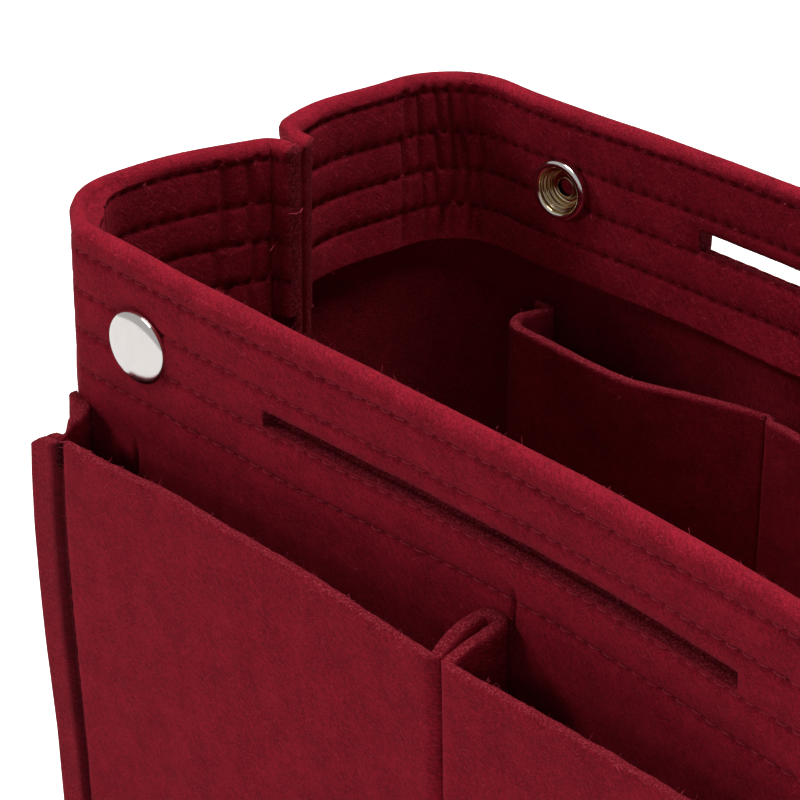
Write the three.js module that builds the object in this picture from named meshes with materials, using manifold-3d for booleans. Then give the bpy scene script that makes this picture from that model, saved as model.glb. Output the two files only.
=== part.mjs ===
// Felt purse organizer insert: two felt half shells sewn together at the ends, a doubled base,
// pleated pocket strips and two pairs of press studs that draw the long walls together.
// Millimetres. X runs along the length, Y towards the back, Z up from the underside of the base.

import * as THREE from 'three';
import { mergeVertices } from 'three/addons/utils/BufferGeometryUtils.js';
import Module from 'manifold-3d';

const wasm = await Module();
wasm.setup();

// Overall sizes
const length = 260;
const width = 118;
const height = 155;
const felt = 2.2; // one layer of felt
const seat = 0.3; // gap between pieces that touch

// Half shells
const cornerRadius = 18; // outer face
const endSlant = THREE.MathUtils.degToRad(9); // how far each end half leans in towards the seam
const seamTurnRadius = 5.5; // outer face, where the end turns in to the seam
const finLength = 2.4; // straight part of the seam allowance inside
const partingGap = 0.4; // between a wall panel and the end halves beside it

// Hem band, folded in at the rim and quilted by rows of stitches
const hemDepth = 38;
const firstRow = 5; // below the rim
const rowPitch = 8.4;
const rowCount = 4;
const stitchDip = 0.5;
const stitchDipHalf = 1;

// Slot cut through each long wall
const slotLength = 118;
const slotHeight = 4.4;
const slotDrop = 16.2; // from the rim to its upper edge

// Outer pocket strips
const outerPocketDrop = 36.5; // from the rim to the raw edge
const outerPocketInset = 0.5; // tip of a side tuck short of the wall panel's end
const outerPocketDepthTop = 12.5; // wall to the outside of the pocket
const outerPocketDepthBottom = 8.6;
const tuckLength = 7.5;
const flangeInset = 0.4; // flange end short of the tuck's tip
const foldRadius = 1.25; // middle of the felt, where it folds back on itself
const bendRadius = 1.6; // middle of the felt, where it turns a corner
const pleatSlit = 0.4; // between the two legs of the pleat at the front
const pleatEye = 2.2; // how far the pleat's loop opens beside the wall

// Inner pocket strip on the back wall
const innerPocketDrop = 47;
const innerPocketInset = 10; // end of a flange short of the wall panel's end
const innerPocketDepth = 16.5;
const innerPocketLift = 6.4; // lower edge above the base lining
const innerFlange = 3.6;
const innerCornerRadius = 3.4; // middle of the felt
const dividerAt = 33; // from the middle to each sewn divider
const middlePocketSlant = 16; // from a divider to where the middle pocket's front is flat
const sidePocketSlant = 33; // from a divider to where a side pocket's front is flat
const middlePocketShare = 0.7; // depth of the middle pocket against the side ones

// Base
const shelfCorner = 2.5; // shelf under the outer pockets
const liningCorner = 12;

// Press studs
const studInset = 35; // from the end of the organizer
const studDrop = 18; // below the rim
const capRadius = 7.5;
const capEdge = 0.8;
const capRise = 2;
const postRadius = 1.7;
const postGrip = 1.3; // how far a post reaches past the felt
const studFlangeRadius = 5.4;
const studFlangeHeight = 1;
const studNeckRadius = 2.9;
const studNeckHeight = 2.1;
const studHeadRadius = 3.3;
const studHeadLow = 3;
const studHeadHigh = 3.6;
const studTipRadius = 2;
const studHeight = 4.2;
const studBoreDepth = 2.2;
const socketRadius = 6.6;
const socketHeight = 2.6;
const socketWellRadius = 4.5;
const socketRim = 0.6;
const socketFloor = 0.7;
const socketStepRadius = 3.5;
const socketStepHeight = 0.5;
const springWire = 0.35;
const springGap = 3;

// Facets
const roundSides = 24;
const wireSides = 6;
const domeSteps = 7;
const socketRimSteps = 4;
const rimSteps = 6;
const cornerSteps = 8;
const seamTurnSteps = 5;
const bendSteps = 4;
const foldSteps = 6;
const pleatSteps = 12;
const plateCornerSteps = 6;

// Levels and places that follow from the sizes
const panelReach = length / 2 - cornerRadius;
const outerPocketReach = panelReach - outerPocketInset;
const innerPocketReach = panelReach - innerPocketInset;
const wallFoot = felt + seat; // walls stand on the base panel
const liningTop = 2 * felt + seat;
const outerFace = width / 2;
const innerFace = outerFace - felt;
const hemFace = outerFace - 2 * felt;
const studX = length / 2 - studInset;
const studZ = height - studDrop;
const boreRadius = postRadius + seat;

const wineFelt = { color: 0x7d1428, roughness: 0.95, metalness: 0 };
const innerFelt = { color: 0x6c1022, roughness: 0.97, metalness: 0 };
const nickel = { color: 0xd9d5d0, roughness: 0.18, metalness: 1 };
const springSteel = { color: 0xb9ad92, roughness: 0.3, metalness: 1 };

// Merged vertices, no empty triangles and faces that point out
function closed(source) {
  const bare = source.clone();
  bare.deleteAttribute('normal');
  bare.deleteAttribute('uv');
  const merged = mergeVertices(bare, 1e-4);
  const corners = merged.index.array;
  const place = merged.attributes.position;
  const kept = [];
  const [a, b, c] = [new THREE.Vector3(), new THREE.Vector3(), new THREE.Vector3()];
  let volume = 0;
  for (let i = 0; i < corners.length; i += 3) {
    const [p, q, r] = [corners[i], corners[i + 1], corners[i + 2]];
    if (p === q || q === r || r === p) continue;
    kept.push(p, q, r);
    a.fromBufferAttribute(place, p);
    b.fromBufferAttribute(place, q);
    c.fromBufferAttribute(place, r);
    volume += a.dot(b.cross(c));
  }
  merged.setIndex(volume < 0 ? kept.reverse() : kept);
  return merged;
}

function solidOf(source) {
  const body = closed(source);
  const vertProperties = Float32Array.from(body.attributes.position.array);
  const triVerts = Uint32Array.from(body.index.array);
  return new wasm.Manifold(new wasm.Mesh({ numProp: 3, vertProperties, triVerts }));
}

function geometryOf(solid) {
  const mesh = solid.getMesh();
  const geometry = new THREE.BufferGeometry();
  geometry.setAttribute('position', new THREE.BufferAttribute(Float32Array.from(mesh.vertProperties), 3));
  geometry.setIndex(Array.from(mesh.triVerts));
  return geometry;
}

function box(lowX, highX, lowY, highY, lowZ, highZ) {
  const block = new THREE.BoxGeometry(highX - lowX, highY - lowY, highZ - lowZ);
  block.translate((lowX + highX) / 2, (lowY + highY) / 2, (lowZ + highZ) / 2);
  return solidOf(block);
}

// A line in plan made of straight runs and round turns, with the heading at each point
class PlanPath {
  constructor(x, y, heading) {
    this.place = new THREE.Vector2(x, y);
    this.heading = heading;
    this.stations = [];
    this.mark();
  }

  mark() {
    this.stations.push({ x: this.place.x, y: this.place.y, heading: this.heading });
  }

  run(distance) {
    this.place.x += distance * Math.cos(this.heading);
    this.place.y += distance * Math.sin(this.heading);
    this.mark();
    return this;
  }

  // Left turns are positive
  turn(angle, radius, steps) {
    const side = Math.sign(angle) * radius;
    const centreX = this.place.x - side * Math.sin(this.heading);
    const centreY = this.place.y + side * Math.cos(this.heading);
    const start = this.heading;
    for (let step = 1; step <= steps; step += 1) {
      this.heading = start + (angle * step) / steps;
      this.place.set(centreX + side * Math.sin(this.heading), centreY - side * Math.cos(this.heading));
      this.mark();
    }
    return this;
  }

  // Follows points given by a formula, heading along them
  follow(pointAt, steps) {
    const small = 1e-3;
    for (let step = 1; step <= steps; step += 1) {
      const here = pointAt(step / steps);
      const before = pointAt(step / steps - small);
      this.place.set(here.x, here.y);
      this.heading = Math.atan2(here.y - before.y, here.x - before.x);
      this.mark();
    }
    return this;
  }
}

function beside(station, offset) {
  const x = station.x - offset * Math.sin(station.heading);
  const y = station.y + offset * Math.cos(station.heading);
  return new THREE.Vector2(x, y);
}

// A half path from the middle to the right, and its mirror image, as one line from left to right
function mirroredLine(half) {
  const left = half.slice(1).reverse();
  const mirrored = left.map((s) => ({ x: -s.x, y: s.y, heading: -s.heading }));
  return [...mirrored, ...half];
}

// Rings of points joined by quads, with flat ends cut from the ring's own outline
function loft(rings, outline) {
  const count = outline.length;
  const points = rings.flat();
  const faces = [];
  for (let ring = 0; ring + 1 < rings.length; ring += 1) {
    for (let k = 0; k < count; k += 1) {
      const next = (k + 1) % count;
      const [a, b] = [ring * count + k, ring * count + next];
      faces.push(a, b, b + count, a, b + count, a + count);
    }
  }
  const last = (rings.length - 1) * count;
  const turn = Math.sign(THREE.ShapeUtils.area(outline));
  for (const triangle of THREE.ShapeUtils.triangulateShape(outline, [])) {
    const sameTurn = THREE.ShapeUtils.area(triangle.map((k) => outline[k])) * turn > 0;
    const [a, b, c] = sameTurn ? triangle : triangle.toReversed();
    faces.push(a, c, b);
    faces.push(last + a, last + b, last + c);
  }
  const geometry = new THREE.BufferGeometry().setFromPoints(points);
  geometry.setIndex(faces);
  return geometry;
}

function sweep(stations, section) {
  const rings = stations.map((station) => section.map((corner) => {
    const place = beside(station, corner.x);
    return new THREE.Vector3(place.x, place.y, corner.y);
  }));
  return loft(rings, section);
}

// Outer face of the front half shell in plan, from the left seam allowance to the right one
function shellPath() {
  const turnY = -seat / 2 - seamTurnRadius;
  const cornerY = cornerRadius - outerFace;
  const radiusStep = cornerRadius - seamTurnRadius;
  const rise = turnY - cornerY;
  const endRun = (rise - radiusStep * Math.sin(endSlant)) / Math.cos(endSlant);
  const turnX = (rise * Math.sin(endSlant) - radiusStep) / Math.cos(endSlant) - panelReach;
  const quarter = Math.PI / 2;
  return new PlanPath(turnX + finLength, -seat / 2, Math.PI)
    .run(finLength)
    .turn(quarter - endSlant, seamTurnRadius, seamTurnSteps)
    .run(endRun)
    .turn(quarter + endSlant, cornerRadius, cornerSteps)
    .run(2 * panelReach)
    .turn(quarter + endSlant, cornerRadius, cornerSteps)
    .run(endRun)
    .turn(quarter - endSlant, seamTurnRadius, seamTurnSteps)
    .run(finLength)
    .stations;
}

// Depth into the wall against height: outer face, rolled rim, hem band with its raw edge, inner face
function wallSection() {
  const rows = Array.from({ length: rowCount }, (_, row) => height - firstRow - row * rowPitch);
  const section = [new THREE.Vector2(0, wallFoot)];
  for (const z of rows.toReversed()) {
    section.push(new THREE.Vector2(0, z - stitchDipHalf));
    section.push(new THREE.Vector2(stitchDip, z));
    section.push(new THREE.Vector2(0, z + stitchDipHalf));
  }
  for (let step = 0; step <= rimSteps; step += 1) {
    const angle = Math.PI * (1 - step / rimSteps);
    section.push(new THREE.Vector2(felt + felt * Math.cos(angle), height - felt + felt * Math.sin(angle)));
  }
  for (const z of rows) {
    section.push(new THREE.Vector2(2 * felt, z + stitchDipHalf));
    section.push(new THREE.Vector2(2 * felt - stitchDip, z));
    section.push(new THREE.Vector2(2 * felt, z - stitchDipHalf));
  }
  section.push(new THREE.Vector2(2 * felt, height - hemDepth));
  section.push(new THREE.Vector2(felt, height - hemDepth));
  section.push(new THREE.Vector2(felt, wallFoot));
  return section;
}

// Front half shell cut into its wall panel and two end halves
function halfShell() {
  const whole = solidOf(sweep(shellPath(), wallSection()));
  const far = length;
  const slotTop = height - slotDrop;
  let panel = whole.intersect(box(-panelReach, panelReach, -far, 0, 0, far));
  panel = panel.subtract(box(-slotLength / 2, slotLength / 2, -far, 0, slotTop - slotHeight, slotTop));
  for (const side of [-1, 1]) {
    const hole = new THREE.CylinderGeometry(boreRadius, boreRadius, width, roundSides / 2);
    hole.translate(side * studX, -outerFace, studZ);
    panel = panel.subtract(solidOf(hole));
  }
  const endX = panelReach + partingGap;
  const left = whole.intersect(box(-far, -endX, -far, far, 0, far));
  const right = whole.intersect(box(endX, far, -far, far, 0, far));
  return { panel: geometryOf(panel), left: geometryOf(left), right: geometryOf(right) };
}

// A felt strip standing on edge: its line in plan changes from the lower edge to the upper one
function strip(lineAt, lowDepth, highDepth, lowZ, highZ) {
  const outlineAt = (depth) => {
    const line = lineAt(depth);
    const oneFace = line.map((station) => beside(station, felt / 2));
    const otherFace = line.map((station) => beside(station, -felt / 2));
    return [...oneFace, ...otherFace.reverse()];
  };
  const low = outlineAt(lowDepth);
  const high = outlineAt(highDepth);
  const lift = (outline, z) => outline.map((p) => new THREE.Vector3(p.x, p.y, z));
  return loft([lift(low, lowZ), lift(high, highZ)], high);
}

// Two pockets side by side: a pleat looped against the wall, a front, a side tuck, a leg and a flange
function outerPocketLine(depth) {
  const wallLine = seat + felt / 2;
  const frontLine = depth - felt / 2;
  const legX = (felt + pleatSlit) / 2;
  const loopEnd = frontLine - bendRadius;
  const pleat = (t) => {
    const angle = Math.PI * (1 - t);
    const opening = pleatEye * Math.sin(angle) * Math.sin(angle / 2) ** 2;
    const x = legX * Math.cos(angle / 2) + opening;
    return { x, y: wallLine + ((loopEnd - wallLine) * (1 + Math.cos(angle))) / 2 };
  };
  const tipX = outerPocketReach - foldRadius - felt / 2;
  const tuckLine = frontLine - 2 * foldRadius;
  const legRun = tuckLine - wallLine - 2 * bendRadius;
  const tuckRun = tuckLength - foldRadius - felt / 2;
  const path = new PlanPath(0, wallLine, 0).follow(pleat, pleatSteps);
  path.turn(-path.heading, bendRadius, bendSteps);
  path.run(tipX - path.place.x);
  path.turn(-Math.PI, foldRadius, foldSteps);
  path.run(tuckRun);
  path.turn(Math.PI / 2, bendRadius, bendSteps);
  path.run(legRun);
  path.turn(Math.PI / 2, bendRadius, bendSteps);
  path.run(outerPocketReach - flangeInset - path.place.x);
  return mirroredLine(path.stations);
}

// Straight runs from corner to corner, each corner between the ends rounded off
function roundedLine(corners) {
  const [first, second] = corners;
  const path = new PlanPath(first.x, first.y, Math.atan2(second.y - first.y, second.x - first.x));
  for (let k = 1; k + 1 < corners.length; k += 1) {
    const [here, next] = [corners[k], corners[k + 1]];
    const angle = Math.atan2(next.y - here.y, next.x - here.x) - path.heading;
    const cutBack = here.radius * Math.tan(Math.abs(angle) / 2);
    path.run(path.place.distanceTo(here) - cutBack);
    path.turn(angle, here.radius, bendSteps);
  }
  path.run(path.place.distanceTo(corners.at(-1)));
  return path.stations;
}

// Three pockets side by side: the front meets the wall at each sewn divider and slants out beside it
function innerPocketLine(depth) {
  const wallLine = seat + felt / 2;
  const frontLine = depth - felt / 2;
  const middleLine = wallLine + middlePocketShare * (frontLine - wallLine);
  const legX = innerPocketReach - innerFlange - bendRadius;
  const half = roundedLine([
    { x: 0, y: middleLine },
    { x: dividerAt - middlePocketSlant, y: middleLine, radius: innerCornerRadius },
    { x: dividerAt, y: wallLine, radius: bendRadius },
    { x: dividerAt + sidePocketSlant, y: frontLine, radius: innerCornerRadius },
    { x: legX, y: frontLine, radius: innerCornerRadius },
    { x: legX, y: wallLine, radius: bendRadius },
    { x: innerPocketReach, y: wallLine },
  ]);
  return mirroredLine(half);
}

function roundedRectangle(halfX, halfY, radius) {
  const shape = new THREE.Shape();
  shape.absarc(halfX - radius, halfY - radius, radius, 0, Math.PI / 2);
  shape.absarc(radius - halfX, halfY - radius, radius, Math.PI / 2, Math.PI);
  shape.absarc(radius - halfX, radius - halfY, radius, Math.PI, 1.5 * Math.PI);
  shape.absarc(halfX - radius, radius - halfY, radius, 1.5 * Math.PI, 2 * Math.PI);
  return shape;
}

function plate(shape, lowZ, thickness) {
  const settings = { depth: thickness, bevelEnabled: false, curveSegments: plateCornerSteps };
  return new THREE.ExtrudeGeometry(shape, settings).translate(0, 0, lowZ);
}

// Follows the outside of the shells, with a shelf under the outer pockets on both long sides
function basePanel() {
  const half = shellPath().slice(1, -1).map((station) => new THREE.Vector2(station.x, station.y));
  const outline = new THREE.Shape([...half, ...half.map((p) => new THREE.Vector2(-p.x, -p.y))]);
  const shelf = roundedRectangle(outerPocketReach, outerFace + outerPocketDepthBottom, shelfCorner);
  const panel = solidOf(plate(outline, 0, felt)).add(solidOf(plate(shelf, 0, felt)));
  return geometryOf(panel);
}

function baseLining() {
  return plate(roundedRectangle(panelReach, innerFace - seat, liningCorner), felt + seat, felt);
}

function turned(profile) {
  return new THREE.LatheGeometry(profile.map(([r, y]) => new THREE.Vector2(r, y)), roundSides);
}

// Domed cap on the outside of the felt, with the post that goes through it. +Y points out of the wall.
function snapCap() {
  const dome = [];
  for (let step = 0; step <= domeSteps; step += 1) {
    const angle = (Math.PI / 2) * (step / domeSteps);
    dome.push([capRadius * Math.sin(angle), capEdge + capRise * Math.cos(angle)]);
  }
  const postEnd = -2 * felt - postGrip;
  const back = [[capRadius - seat, seat], [postRadius, seat], [postRadius, postEnd], [0, postEnd]];
  return turned([...dome, ...back]);
}

// Stud on the inside of the front wall, hollow behind to take the post. +Y points out of the felt.
function snapStud() {
  return turned([
    [0, studBoreDepth],
    [boreRadius, studBoreDepth],
    [boreRadius, seat],
    [studFlangeRadius, seat],
    [studFlangeRadius, studFlangeHeight - seat],
    [studNeckRadius, studFlangeHeight],
    [studNeckRadius, studNeckHeight],
    [studHeadRadius, studHeadLow],
    [studHeadRadius, studHeadHigh],
    [studTipRadius, studHeight],
    [0, studHeight],
  ]);
}

// Socket on the inside of the back wall: rolled rim, well and stepped floor round the post
function snapSocket() {
  const floor = seat + socketFloor;
  const rimLevel = socketHeight - socketRim;
  const ring = [[boreRadius, seat], [socketRadius, seat]];
  for (let step = 0; step <= socketRimSteps; step += 1) {
    const angle = (Math.PI * step) / socketRimSteps;
    const radius = socketRadius - socketRim + socketRim * Math.cos(angle);
    ring.push([radius, rimLevel + socketRim * Math.sin(angle)]);
  }
  ring.push([socketWellRadius, rimLevel], [socketWellRadius, floor]);
  ring.push([socketStepRadius, floor], [socketStepRadius, floor + socketStepHeight]);
  ring.push([boreRadius, floor + socketStepHeight]);
  return turned([...ring, ring[0]]);
}

// Split ring of wire that lies in the socket's well and grips the stud
function socketSpring() {
  const ringRadius = socketWellRadius - seat - springWire;
  const ring = new THREE.TorusGeometry(ringRadius, springWire, wireSides, roundSides);
  ring.rotateX(Math.PI / 2);
  ring.translate(0, 2 * seat + socketFloor + springWire, 0);
  const reach = 2 * ringRadius;
  const split = box(0, reach, -reach, reach, -springGap / 2, springGap / 2);
  return geometryOf(solidOf(ring).subtract(split));
}

function piece(name, geometry, finish) {
  const mesh = new THREE.Mesh(closed(geometry), new THREE.MeshStandardMaterial(finish));
  mesh.name = name;
  return mesh;
}

// Turned half way round, a piece made for the back faces the front
function facing(mesh, x, y, z, halfTurn) {
  mesh.position.set(x, y, z);
  mesh.rotation.z = halfTurn ? Math.PI : 0;
  return mesh;
}

function base() {
  const group = new THREE.Group();
  group.add(piece('base_panel', basePanel(), wineFelt));
  group.add(piece('base_lining', baseLining(), innerFelt));
  return group;
}

function frontShell() {
  const cut = halfShell();
  const group = new THREE.Group();
  group.add(piece('front_wall', cut.panel, wineFelt));
  group.add(piece('left_front_end', cut.left, wineFelt));
  group.add(piece('right_front_end', cut.right, wineFelt));
  return group;
}

function backShell() {
  const cut = halfShell();
  const group = new THREE.Group();
  group.add(piece('back_wall', cut.panel, wineFelt));
  group.add(piece('right_back_end', cut.left, wineFelt));
  group.add(piece('left_back_end', cut.right, wineFelt));
  group.rotation.z = Math.PI;
  return group;
}

function pockets() {
  const outerTop = height - outerPocketDrop;
  const innerTop = height - innerPocketDrop;
  const outer = strip(outerPocketLine, outerPocketDepthBottom, outerPocketDepthTop, wallFoot, outerTop);
  const innerLow = liningTop + innerPocketLift;
  const inner = strip(innerPocketLine, innerPocketDepth, innerPocketDepth, innerLow, innerTop);
  const group = new THREE.Group();
  group.add(facing(piece('front_outer_pockets', outer, wineFelt), 0, -outerFace, 0, true));
  group.add(facing(piece('back_outer_pockets', outer, wineFelt), 0, outerFace, 0, false));
  group.add(facing(piece('back_inner_pockets', inner, innerFelt), 0, innerFace, 0, true));
  return group;
}

function pressStuds() {
  const group = new THREE.Group();
  for (const [side, x] of [['left', -studX], ['right', studX]]) {
    group.add(facing(piece(`front_cap_${side}`, snapCap(), nickel), x, -outerFace, studZ, true));
    group.add(facing(piece(`front_stud_${side}`, snapStud(), nickel), x, -hemFace, studZ, false));
    group.add(facing(piece(`back_cap_${side}`, snapCap(), nickel), x, outerFace, studZ, false));
    group.add(facing(piece(`back_socket_${side}`, snapSocket(), nickel), x, hemFace, studZ, true));
    group.add(facing(piece(`socket_spring_${side}`, socketSpring(), springSteel), x, hemFace, studZ, true));
  }
  return group;
}

const organizer = new THREE.Group();
organizer.name = 'purse_organizer';
organizer.add(base(), frontShell(), backShell(), pockets(), pressStuds());

export default organizer;
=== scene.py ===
import math
import bpy
import bmesh
import numpy as np
from mathutils import Matrix, Quaternion, Vector


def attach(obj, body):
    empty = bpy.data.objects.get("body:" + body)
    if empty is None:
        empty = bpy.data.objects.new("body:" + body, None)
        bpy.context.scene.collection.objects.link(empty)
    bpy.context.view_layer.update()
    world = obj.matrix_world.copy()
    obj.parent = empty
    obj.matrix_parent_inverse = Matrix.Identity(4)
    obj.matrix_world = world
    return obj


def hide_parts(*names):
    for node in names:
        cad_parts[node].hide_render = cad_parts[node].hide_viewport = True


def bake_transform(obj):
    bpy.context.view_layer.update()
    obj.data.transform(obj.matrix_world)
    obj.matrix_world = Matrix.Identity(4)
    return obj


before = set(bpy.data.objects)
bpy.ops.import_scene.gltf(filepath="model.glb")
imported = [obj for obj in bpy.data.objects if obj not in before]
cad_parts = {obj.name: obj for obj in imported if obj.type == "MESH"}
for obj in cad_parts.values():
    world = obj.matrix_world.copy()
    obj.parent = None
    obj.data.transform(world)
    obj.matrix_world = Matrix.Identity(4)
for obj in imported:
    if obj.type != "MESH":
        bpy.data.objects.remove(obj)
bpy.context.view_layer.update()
scene = bpy.context.scene
mm = 0.001
print("frame loaded:", len(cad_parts), "nodes")


def linear(level):  # screen level, 0 to 255, as the linear level that sockets take
    c = level / 255
    return c / 12.92 if c <= 0.04045 else ((c + 0.055) / 1.055) ** 2.4


def tone(red, green, blue):
    return [linear(level) for level in (red, green, blue)]


class Strand:  # a socket that can be added, multiplied and so on
    def __init__(self, finish, socket):
        self.finish = finish
        self.socket = socket

    def reckon(self, how, first, second):
        if "RGBA" in [x.socket.type for x in (first, second) if isinstance(x, Strand)]:
            settings = {"data_type": "RGBA", "blend_type": how}
            return self.finish.node("ShaderNodeMix", settings, {0: 1.0, 6: first, 7: second}, 2)
        return self.finish.node("ShaderNodeMath", {"operation": how}, {0: first, 1: second})

    def __add__(self, other):
        return self.reckon("ADD", self, other)

    def __radd__(self, other):
        return self.reckon("ADD", other, self)

    def __sub__(self, other):
        return self.reckon("SUBTRACT", self, other)

    def __rsub__(self, other):
        return self.reckon("SUBTRACT", other, self)

    def __mul__(self, other):
        return self.reckon("MULTIPLY", self, other)

    def __rmul__(self, other):
        return self.reckon("MULTIPLY", other, self)


class Finish:  # node tree of a material or the world
    def __init__(self, owner):
        owner.use_nodes = True
        self.owner = owner
        self.tree = owner.node_tree
        self.tree.nodes.clear()

    def feed(self, socket, value):
        if isinstance(value, Strand):
            self.tree.links.new(value.socket, socket)
        elif socket.type == "RGBA":
            socket.default_value = (*value, 1)
        else:
            socket.default_value = value

    def node(self, kind, settings, sockets, out=0):
        made = self.tree.nodes.new(kind)
        for key, value in settings.items():
            setattr(made, key, value)
        for key, value in sockets.items():
            self.feed(made.inputs[key], value)
        return Strand(self, made.outputs[out]) if len(made.outputs) else None

    def noise(self, vector, scale, flat=False, **sockets):
        settings = {"noise_dimensions": "2D" if flat else "3D"}
        return self.node("ShaderNodeTexNoise", settings, {"Vector": vector, "Scale": scale, **sockets})

    def lay(self):  # centimetres along and across the felt
        return self.node("ShaderNodeUVMap", {"uv_map": "lay"}, {})

    def place(self):  # metres, in the piece's own frame
        return self.node("ShaderNodeTexCoord", {}, {}, 3)

    def rays(self):  # 1 for rays that the camera sees, that metal mirrors and that pass through
        kinds = ("Is Camera Ray", "Is Glossy Ray", "Is Transmission Ray")
        return [self.node("ShaderNodeLightPath", {}, {}, kind) for kind in kinds]

    def blend(self, share, first, second):  # colours
        return self.node("ShaderNodeMix", {"data_type": "RGBA"}, {0: share, 6: first, 7: second}, 2)

    def spread(self, value, low, high):  # 0 at low, 1 at high
        settings = {"interpolation_type": "SMOOTHSTEP", "clamp": True}
        return self.node("ShaderNodeMapRange", settings, {"Value": value, "From Min": low, "From Max": high})

    def mask(self, name):  # number kept on the mesh's points
        return self.node("ShaderNodeAttribute", {"attribute_name": name}, {}, 2)

    def bump(self, height, strength, distance):
        return self.node("ShaderNodeBump", {}, {"Strength": strength, "Distance": distance, "Height": height})

    def surface(self, sockets):
        shader = self.node("ShaderNodeBsdfPrincipled", {}, sockets)
        self.node("ShaderNodeOutputMaterial", {}, {"Surface": shader})
        return self.owner


feltLook = {
    "body": tone(138, 24, 40), "deep": tone(94, 13, 24), "hair": tone(182, 66, 82),
    "cutDark": tone(94, 12, 23), "cutLight": tone(182, 64, 78), "sheenTint": tone(255, 96, 112),
    "lean": (-0.95, 7.0, 26.0, 3.1), "cross": (-0.2, 8.0, 28.0, 8.4),  # turn, count along and across, start
    "hairOne": (-0.7, 3.2, 34.0, 21.7), "hairOneRange": (0.66, 0.76),
    "hairTwo": (0.6, 3.6, 36.0, 33.9), "hairTwoRange": (0.67, 0.77),
    "leanShare": 0.36, "crossShare": 0.34, "grainShare": 0.3, "napShare": 0.86, "cloudShare": 0.14,
    "napRange": (0.4, 0.61), "crumbRange": (0.44, 0.7),
    "cloudScale": 1.4, "grainScale": 30.0, "crumbScale": 2300.0,
    "hairShown": 0.3, "frayAndPaintedLightShown": 0.5, "cutShown": 0.8, "paintedGrooveShade": 0.5, "paintedHoleShade": 0.6, "hairRise": 0.25,
}


def feltFinish(name):
    f, look = Finish(bpy.data.materials.new(name)), feltLook
    lay = f.lay()

    def fibres(turn, along, across, start):
        sockets = {"Vector": lay, "Location": (start, 0.7 * start, 0)}
        sockets |= {"Rotation": (0, 0, turn), "Scale": (1 / along, 1 / across, 1)}
        turned = f.node("ShaderNodeMapping", {"vector_type": "TEXTURE"}, sockets)
        return f.noise(turned, 1.0, True, Detail=2.0, Roughness=0.6, Distortion=1.4)

    clouds = f.noise(lay, look["cloudScale"], True, Detail=3.0)
    grain = f.noise(lay, look["grainScale"], True, Detail=3.0, Roughness=0.7)
    lean, cross = fibres(*look["lean"]), fibres(*look["cross"])
    nap = look["leanShare"] * lean + look["crossShare"] * cross + look["grainShare"] * grain
    hairOne = f.spread(fibres(*look["hairOne"]), *look["hairOneRange"])
    hairs = hairOne + f.spread(fibres(*look["hairTwo"]), *look["hairTwoRange"])
    mottle = nap * look["napShare"] + clouds * look["cloudShare"]
    body = f.blend(f.spread(mottle, *look["napRange"]), look["deep"], look["body"])
    # lighter hair fibres near raw edges, and painted light on the inner hem band, through the same fray mask
    body = f.blend(hairs * (look["hairShown"] + look["frayAndPaintedLightShown"] * f.mask("frayAndPaintedLight")), body, look["hair"])
    crumb = f.noise(f.place(), look["crumbScale"], Detail=3.0, Roughness=0.75)
    speck = f.spread(crumb, *look["crumbRange"])
    raw = f.mask("raw")
    body = f.blend(raw * look["cutShown"], body, f.blend(speck, look["cutDark"], look["cutLight"]))
    # painted shade: the groove mask darkens stitched grooves, creases, tuck seams, the slot, seam ends and
    # the inner lower wall, and the hole mask darkens needle holes, where shade falls; a negative groove value
    # on the inner hem band lightens it as painted light
    dark = (1 - look["paintedGrooveShade"] * f.mask("groove")) * (1 - look["paintedHoleShade"] * f.mask("hole"))
    body = body * f.node("ShaderNodeCombineColor", {}, {0: dark, 1: dark, 2: dark})
    return f.surface({
        "Base Color": body,
        "Roughness": 0.88 + 0.12 * nap,
        "Normal": f.bump(nap + hairs * look["hairRise"] + raw * speck, 0.75, 0.0004),
        "Specular IOR Level": 0.05,
        "Sheen Weight": 0.07,
        "Sheen Roughness": 0.5,
        "Sheen Tint": look["sheenTint"],
    })


threadLook = {
    "threadWine": (tone(114, 20, 33), tone(170, 58, 74)),
    # painted shade: a dark copy of the thread for the tuck stitches, which sit in shade
    "threadPaintedShade": (tone(38, 5, 10), tone(74, 12, 20)),
}


def threadFinish(name):
    f = Finish(bpy.data.materials.new(name))
    settings = {"wave_type": "BANDS", "bands_direction": "DIAGONAL"}
    ply = f.node("ShaderNodeTexWave", settings, {"Vector": f.lay(), "Scale": 6.0, "Distortion": 0.4}, 1)
    return f.surface({
        "Base Color": f.blend(ply, *threadLook[name]),
        "Roughness": 0.7 + 0.2 * ply,
        "Normal": f.bump(ply, 0.5, 0.0001),
        "Specular IOR Level": 0.08,
    })


nickelLook = {
    "nickelBright": (tone(228, 222, 219), tone(225, 219, 216)),
    "nickelWarm": (tone(204, 190, 166), tone(202, 172, 118)),
    # painted shade: a dark copy of the nickel for the deep bore of the socket
    "nickelPaintedShade": (tone(40, 37, 36), tone(26, 24, 23)),
    "rough": 0.12, "cloudRange": (0.3, 0.75),
}


def nickelFinish(name):
    f = Finish(bpy.data.materials.new(name))
    place = f.place()
    cloud = f.noise(place, 420.0, Detail=4.0)
    fine = f.noise(place, 2600.0, Detail=2.0)
    return f.surface({
        "Base Color": f.blend(f.spread(cloud, *nickelLook["cloudRange"]), *nickelLook[name]),
        "Metallic": 1.0,
        "Roughness": nickelLook["rough"] + 0.08 * cloud,
        "Normal": f.bump(fine, 0.05, 0.0001),
    })


def fuzzFinish(name):
    f = Finish(bpy.data.materials.new(name))
    mixed = f.noise(f.place(), 900.0, Detail=1.0)
    return f.surface({
        "Base Color": f.blend(f.spread(mixed, 0.35, 0.65), feltLook["body"], feltLook["hair"]),
        "Roughness": 0.8 + 0.2 * mixed,
        "Specular IOR Level": 0.05,
    })


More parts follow.
